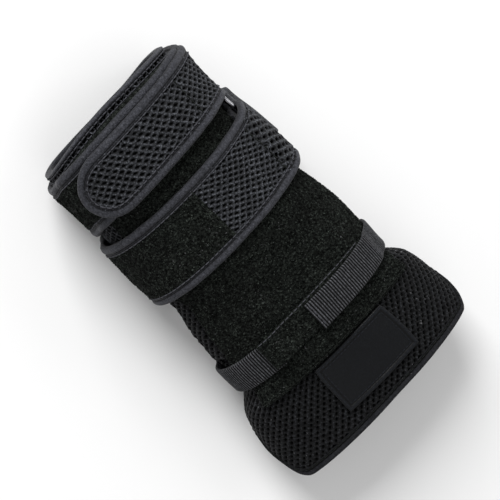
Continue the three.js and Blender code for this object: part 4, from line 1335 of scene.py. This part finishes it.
class GLOVE_OT_base_strap(bpy.types.Operator):
    """Make the loop-fabric base strap with its two tapes, nap and stitches"""

    bl_idname = "glove.base_strap"
    bl_label = "Base strap"

    def execute(self, context):
        band = band_on_seat(BASE_MIDDLE, BASE_START, STRAP_END, STRAP / 2, BASE_LINE)
        inside = BASE_WIDTH / 2 - STRAP_BINDING + PLY_OVERLAP
        core = ply_sheet(band, 0, band.length, inside, STRAP, seed=5, step=1.5)
        piece = dress("base_strap", core, "loop fabric")

        def shown(u, v):
            turn = band.turn(u)
            return (turn < STRAP_1_START + 4) | (turn > STRAP_1_TIP - 16)

        naps = loops(
            "base_strap_nap", band.face(STRAP), band.length * 2 * inside, (0.6, band.length - 0.6),
            (NAP_INSET - inside, inside - NAP_INSET), seed=51, shown=shown,
        )
        edge = (BASE_WIDTH - STRAP_BINDING) / 2
        rows = tape_both_edges("base_strap", band, edge, 300, tape_seed=53, stitch_seed=54)
        sewn = make_piece("base_strap_stitches", rows, "sewing thread")
        return {"FINISHED"}


class GLOVE_OT_strap_1(bpy.types.Operator):
    """Make the round-tipped mesh strap nearest the rim with its tape and stitches"""

    bl_idname = "glove.strap_1"
    bl_label = "Strap 1"

    def execute(self, context):
        over = STRAP + STRAP_BINDING_PROUD + LAYER_GAP + STRAP / 2
        band = band_on_seat(STRAP_1_MIDDLE, STRAP_1_START, STRAP_1_TIP, over, STRAP_1_LINE)
        half = STRAP_1_WIDTH / 2
        inside = half - STRAP_BINDING + PLY_OVERLAP
        edge = half - STRAP_BINDING / 2
        tip = band.length - half
        spot = band.face(STRAP)
        round_end = np.linspace(0, 1, 16)[1:-1]

        def core_at(a, b, face):
            angle = np.maximum(0, a - 1) * np.pi / 2 * TIP_SHARE
            s = np.where(a <= 1, a * tip, tip + inside * np.sin(angle))
            return band.place(s, inside * np.cos(angle) * (2 * b - 1), mesh_core_height(face))

        along = np.concatenate([fine_shares(tip, 1.4), 1 + round_end])
        core = closed_sheet(core_at, along, np.linspace(0, 1, 13))
        piece = dress("strap_1", core, "pad core")

        def keep(u, v):
            reach = np.where(u > tip, np.hypot(u - tip, v), np.abs(v))
            return (reach < inside + 0.3) & (u > 0.5)

        zone = (0, band.length + 2), (-inside - 1, inside + 2)
        cells = net(spot, *zone, keep, STRAP_NET, STRAP_1_HOLE, seed=61)
        skin = make_piece("strap_1_mesh", [cells], "knitted mesh")
        angle = np.linspace(np.pi / 2, -np.pi / 2, 46)[1:-1]
        straight = np.arange(0, tip, 1.0)
        level = 0 * straight

        def outline(reach):
            s = np.concatenate([straight, tip + reach * np.cos(angle), straight[::-1]])
            q = np.concatenate([level + reach, reach * np.sin(angle), level - reach])
            ds = np.concatenate([level, np.cos(angle), level])
            dq = np.concatenate([level + 1, np.sin(angle), level - 1])
            return s, q, ds, dq

        binding = tape(band.place, *outline(edge), seed=62)
        dress("strap_1_binding", binding, "edge tape")
        s, q, _, _ = outline(edge - STITCH_INSET)
        row = stitches(spot, s[1:-1], q[1:-1], STRAP_BINDING_PROUD, seed=63)
        seam = row_across(spot, STRAP_1_DOUBLED, inside - SEAM_INSET, 40, 0.12, seed=64, radius=0.32)
        make_piece("strap_1_seam", [seam], "dark thread")
        sewn = make_piece("strap_1_stitches", [row], "sewing thread")
        return {"FINISHED"}


class GLOVE_OT_ring(bpy.types.Operator):
    """Make the wire ring and the loop-fabric tab that holds it"""

    bl_idname = "glove.ring"
    bl_label = "Ring and tab"

    def execute(self, context):
        unrolled, upper, lower, off, from_x, to_x = ring_frame()
        radius, corner = WIRE / 2, WIRE
        middle_x, middle_arc = (from_x + to_x) / 2, (upper + lower) / 2
        half_x, half_arc = (to_x - from_x) / 2 - radius, (upper - lower) / 2
        corners = []
        for quarter, (side_x, side_arc) in enumerate([(1, 1), (-1, 1), (-1, -1), (1, -1)]):
            angle = np.pi / 2 * (quarter + np.arange(9) / 8)
            out_x, out_arc = np.cos(angle), np.sin(angle)
            at_x = side_x * (half_x - corner) + corner * out_x
            at_arc = side_arc * (half_arc - corner) + corner * out_arc
            corners.append(np.stack([at_x, at_arc, out_x, out_arc], axis=-1))
        rows = []
        for here, after in zip(corners, corners[1:] + corners[:1]):
            rows += [here, here[-1] + (after[0] - here[-1]) * np.linspace(0, 1, 14)[1:-1, None]]
        rows = np.concatenate(rows)
        angle = 2 * np.pi * np.arange(16) / 16
        out = radius * np.cos(angle)[None]
        turn = unrolled.turn_at(middle_arc + rows[:, 1:2] + out * rows[:, 3:4])
        x = middle_x + rows[:, 0:1] + out * rows[:, 2:3]
        rings = surface(x, turn, off + radius * np.sin(angle)[None])
        dress("ring", swept(rings, closed=True), "black ring wire")

        fold_radius = radius + CLEAR + TAB / 2
        seat_off = PAD + CLEAR + TAB / 2

        def lift(turn):
            before = (lower - unrolled.arc_at(turn)) / SETTLE
            return seat_off + (off - fold_radius - seat_off) * (1 - smooth(before))

        in_arc, in_off = lying(unrolled, TAB_START, float(unrolled.turn_at(lower)), lift)
        fold_arc, fold_off = folded(lower, off, fold_radius, -1)
        share = np.linspace(0, 1, 16)[1:]
        out_off = off + fold_radius + TAB_PUFF * smooth(share * 3)
        arcs = np.concatenate([in_arc[:-1], fold_arc, lower - TAB_RETURN * share])
        offs = np.concatenate([in_off[:-1], fold_off, out_off])
        middle = from_x + WIRE + RING_MARGIN + TAB_WIDTH / 2
        band = Band(unrolled, arcs, offs, Track([(-90, middle + TAB_SLANT), (0, middle)]))
        long, half = band.length, TAB_WIDTH / 2
        bulge = lambda s, q: TAB_BULGE * smooth((s - long + TAB_RETURN) / 4 + 1) * (1 - (q / half) ** 2)
        core = ply_sheet(
            band, 0, long, half, TAB, seed=71, step=1.2, radius=1.1, least=0.3, rough=0.12, lift=bulge,
        )
        piece = dress("ring_tab", core, "brushed tab")
        spot = band.face(TAB, bulge)
        naps = loops(
            "ring_tab_nap", spot, long * TAB_WIDTH, (0.5, long - 0.5), (-half + 0.5, half - 0.5),
            seed=72, height=1.4, finish="brushed tab nap",
        )
        row = row_across(spot, long - 2.0, half - 2.2, 60, 0.15, seed=74)
        sewn = make_piece("ring_tab_stitches", [row], "sewing thread")
        return {"FINISHED"}


class GLOVE_OT_strap_2(bpy.types.Operator):
    """Make the wide strap that folds round the ring, with its mesh, loop-fabric tail and tapes"""

    bl_idname = "glove.strap_2"
    bl_label = "Strap 2"

    def execute(self, context):
        band, seam = strap_2_band()
        inside = STRAP_2_WIDTH / 2 - STRAP_BINDING + PLY_OVERLAP
        spot = band.face(STRAP)

        def core_at(a, b, face):
            return band.place(a * seam, inside * (2 * b - 1), mesh_core_height(face))

        core = closed_sheet(core_at, fine_shares(seam, 0.9), np.linspace(0, 1, 15))
        piece = dress("strap_2", core, "pad core")
        doubled_spot = band.face(STRAP, lambda u, v: DOUBLED_RISE * (1 - smooth((u - DOUBLED_END) / 1.2 + 1)))
        single = lambda u, v: (np.abs(v) < inside + 0.3) & (u > DOUBLED_END) & (u < seam + 0.4)
        doubled = lambda u, v: (np.abs(v) < inside + 0.3) & (u > 1) & (u < DOUBLED_END + 0.6)
        zone = (0, seam + 6), (-inside - 1, inside + 2)
        cells = [
            net(spot, *zone, single, WIDE_STRAP_NET, STRAP_2_HOLE, seed=81),
            net(doubled_spot, *zone, doubled, DOUBLED_SCALE * WIDE_STRAP_NET, DOUBLED_HOLE, seed=82),
        ]
        skin = make_piece("strap_2_mesh", cells, "knitted mesh")
        tail_lift = lambda s, q: TAIL_LIFT * (1 - smooth((s - seam) / TAIL_LIFT_RUN))
        tail = ply_sheet(band, seam - 1.0, band.length, inside, STRAP, seed=82, step=1.4, lift=tail_lift)
        tail_piece = dress("strap_2_tail", tail, "loop fabric")
        tail_spot = band.face(STRAP, tail_lift)
        naps = loops(
            "strap_2_nap", tail_spot, (band.length - seam) * 2 * inside, (seam - 0.4, band.length - 0.6),
            (NAP_INSET - inside, inside - NAP_INSET), seed=83, height=0.7,
        )
        edge = (STRAP_2_WIDTH - STRAP_BINDING) / 2
        rows = tape_both_edges("strap_2", band, edge, 340, tape_seed=85, stitch_seed=87)
        seams = [
            row_across(spot, DOUBLED_END + 0.9, inside - SEAM_INSET, 60, 0.15, seed=91, radius=0.36),
            row_across(tail_spot, seam + 0.6, inside - SEAM_INSET, 60, 0.06, seed=92),
        ]
        make_piece("strap_2_seams", seams, "dark thread")
        sewn = make_piece("strap_2_stitches", rows, "sewing thread")
        return {"FINISHED"}


class GLOVE_OT_webbing(bpy.types.Operator):
    """Make the ribbed webbing round the palm and the loop-fabric bridge between its ends"""

    bl_idname = "glove.webbing"
    bl_label = "Webbing and bridge"

    def execute(self, context):
        x = WEBBING_MIDDLE
        unrolled = Unrolled(x)

        def over_bridge(turn):
            over = (BRIDGE + CLEAR) * smooth((turn - BRIDGE_START + SEAT_REACH) / SEAT_RAMP)
            return seat(x, turn) + WEBBING / 2 + over

        line = lying(unrolled, WEBBING_SEWN_END, WEBBING_FREE_END, over_bridge)
        band = Band(unrolled, *line, WEBBING_LINE)
        half = WEBBING_WIDTH / 2
        ribs = int(band.length / (context.scene.glove_fabric.rib_pitch / MM))
        along = np.arange(ribs * RIB_ROWS + 1) / (ribs * RIB_ROWS)
        across = fine_shares(2 * half, 2.4, 1.0)

        def web_at(a, b, face):
            q = half * (2 * b - 1)
            near = half - np.abs(q)
            rib = np.abs(np.sin(np.pi * ribs * a)) - 0.6
            body = WEBBING / 2 * edge_round(near, SELVAGE, 0.45)
            h = body + RIB_HEIGHT * rib * edge_round(near - 0.5, SELVAGE) - RIB_SINK
            return band.place(a * band.length, q, (2 * face - 1) * h)

        points, faces = closed_sheet(web_at, along, across)
        # Painted light on the webbing: 1 on each rib's crest, with painted shade down to black in the grooves
        # between ribs
        crown = (np.clip(np.abs(np.sin(np.pi * ribs * along)) - 0.55, 0, 1) / 0.45) ** 1.3
        web = (points, faces, np.tile(np.repeat(crown, len(across)), 2))
        piece = dress("webbing", web, "ribbed webbing")
        row = row_across(band.face(WEBBING), band.length - 1.4, half - 1, 30, 0.1, seed=101)
        sewn = make_piece("webbing_stitches", [row], "sewing thread")

        def over_webbing(turn):
            past = (turn - WEBBING_SEWN_END - 360 + SEAT_REACH) / SEAT_RAMP
            return seat(x, turn) + BRIDGE / 2 + (WEBBING + CLEAR) * smooth(past)

        line = lying(unrolled, BRIDGE_START, BRIDGE_END, over_webbing)
        bridge = Band(unrolled, *line, BRIDGE_LINE)
        long, wide = bridge.length, BRIDGE_WIDTH / 2
        core = ply_sheet(bridge, 0, long, wide, BRIDGE, seed=102, step=0.9, radius=0.8, least=0.3)
        piece = dress("webbing_bridge", core, "loop fabric")
        spot = bridge.face(BRIDGE)
        naps = loops(
            "webbing_bridge_nap", spot, long * BRIDGE_WIDTH, (0.4, long - 0.4), (-wide + 0.9, wide - 0.5),
            seed=103, height=0.7, shown=lambda u, v: bridge.turn(u) > BRIDGE_START,
        )
        line = np.linspace(1, long - 1, 90)
        row = stitches(spot, line, -wide + 0.5, 0.05, seed=105, radius=0.24, length=2.4)
        selvage = make_piece("webbing_bridge_edging", [row], "sewing thread")
        return {"FINISHED"}


# Stage: places in metres, powers in watts
FLOOR_HALF = 6.0
WORLD_STRENGTH = 0.46
LOOK_AT = Vector((-0.002, -0.0015, 0.040))
LIGHTS = [
    ("key softbox", (-1.6, 0.35, 1.15), 1.0, 44.0),
    ("fill softbox", (1.2, -0.9, 1.5), 1.6, 3.2),
    ("side softbox", (0.2, 1.7, 1.1), 0.9, 6.0),
]
CAMERA_TILTS = (16, 8)
CAMERA_ROLL = (0.701, 0.713)
CAMERA_AWAY = 0.9
CAMERA_LENS = 151.2


class GLOVE_OT_stage(bpy.types.Operator):
    """Make the floor, the lights and the camera"""

    bl_idname = "glove.stage"
    bl_label = "Stage"

    def execute(self, context):
        scene = context.scene
        finish, t, shader = new_finish("pale floor")
        colour = tuple(scene.glove_colours.floor)
        shade = t.mixed(t.band(t.noise(t.place(), 3.0), 0.3, 0.7), colour, darker(colour, 1.02))
        t.feed(shader, {"Base Color": shade, "Roughness": 0.85})
        mesh = bpy.data.meshes.new("floor")
        corners = [(FLOOR_HALF * x, FLOOR_HALF * y, 0) for x, y in ((-1, -1), (1, -1), (1, 1), (-1, 1))]
        mesh.from_pydata(corners, [], [(0, 1, 2, 3)])
        mesh.materials.append(finish)
        floor = bpy.data.objects.new("floor", mesh)
        scene.collection.objects.link(floor)

        world = bpy.data.worlds.new("soft white studio")
        world.use_nodes = True
        backdrop = world.node_tree.nodes["Background"].inputs
        backdrop["Color"].default_value = (1.0, 1.0, 1.0, 1.0)
        backdrop["Strength"].default_value = WORLD_STRENGTH
        scene.world = world
        for name, location, size, power in LIGHTS:
            light = bpy.data.lights.new(name, "AREA")
            light.shape = "SQUARE"
            light.size = size
            light.energy = power
            lamp = bpy.data.objects.new(name, light)
            lamp.location = location
            lamp.rotation_euler = (LOOK_AT - Vector(location)).to_track_quat("-Z", "Y").to_euler()
            scene.collection.objects.link(lamp)

        tilt_x, tilt_y = (-math.tan(math.radians(tilt)) for tilt in CAMERA_TILTS)
        away = Vector((tilt_x, tilt_y, 1)).normalized()
        along = Vector((1, 0, 0))
        along = (along - along.dot(away) * away).normalized()
        across = away.cross(along)
        right = (CAMERA_ROLL[0] * along + CAMERA_ROLL[1] * across).normalized()
        down = (CAMERA_ROLL[1] * along - CAMERA_ROLL[0] * across).normalized()
        camera = bpy.data.cameras.new("camera")
        camera.lens = CAMERA_LENS
        camera.sensor_width = 36.0
        camera.clip_start = 0.01
        eye = bpy.data.objects.new("camera", camera)
        turn = Matrix((right, -down, away)).transposed().to_4x4()
        eye.matrix_world = Matrix.Translation(LOOK_AT + CAMERA_AWAY * away) @ turn
        scene.collection.objects.link(eye)
        scene.camera = eye
        scene.view_settings.view_transform = "Standard"
        return {"FINISHED"}


PIECES = [
    GLOVE_OT_cuff, GLOVE_OT_hand_band, GLOVE_OT_back_panel, GLOVE_OT_label, GLOVE_OT_base_strap,
    GLOVE_OT_strap_1, GLOVE_OT_ring, GLOVE_OT_strap_2, GLOVE_OT_webbing, GLOVE_OT_stage,
]


class GLOVE_PT_pieces(bpy.types.Panel):
    """Lists the glove's colours, sizes and pieces"""

    bl_label = "Bowling glove"
    bl_idname = "GLOVE_PT_pieces"
    bl_space_type = "VIEW_3D"
    bl_region_type = "UI"
    bl_category = "Glove"

    def draw(self, context):
        column = self.layout.column()
        for group in (context.scene.glove_colours, context.scene.glove_fabric):
            for name in group.__annotations__:
                column.prop(group, name)
        for piece in PIECES:
            column.operator(piece.bl_idname)


CLASSES = [GloveColours, GloveFabric, *PIECES, GLOVE_PT_pieces]


def register():
    for cls in CLASSES:
        bpy.utils.register_class(cls)
    bpy.types.Scene.glove_colours = PointerProperty(type=GloveColours)
    bpy.types.Scene.glove_fabric = PointerProperty(type=GloveFabric)


def unregister():
    del bpy.types.Scene.glove_fabric
    del bpy.types.Scene.glove_colours
    for cls in reversed(CLASSES):
        bpy.utils.unregister_class(cls)


def main():
    register()
    for piece in PIECES:
        getattr(bpy.ops.glove, piece.bl_idname.split(".")[1])()


if __name__ == "__main__":
    main()
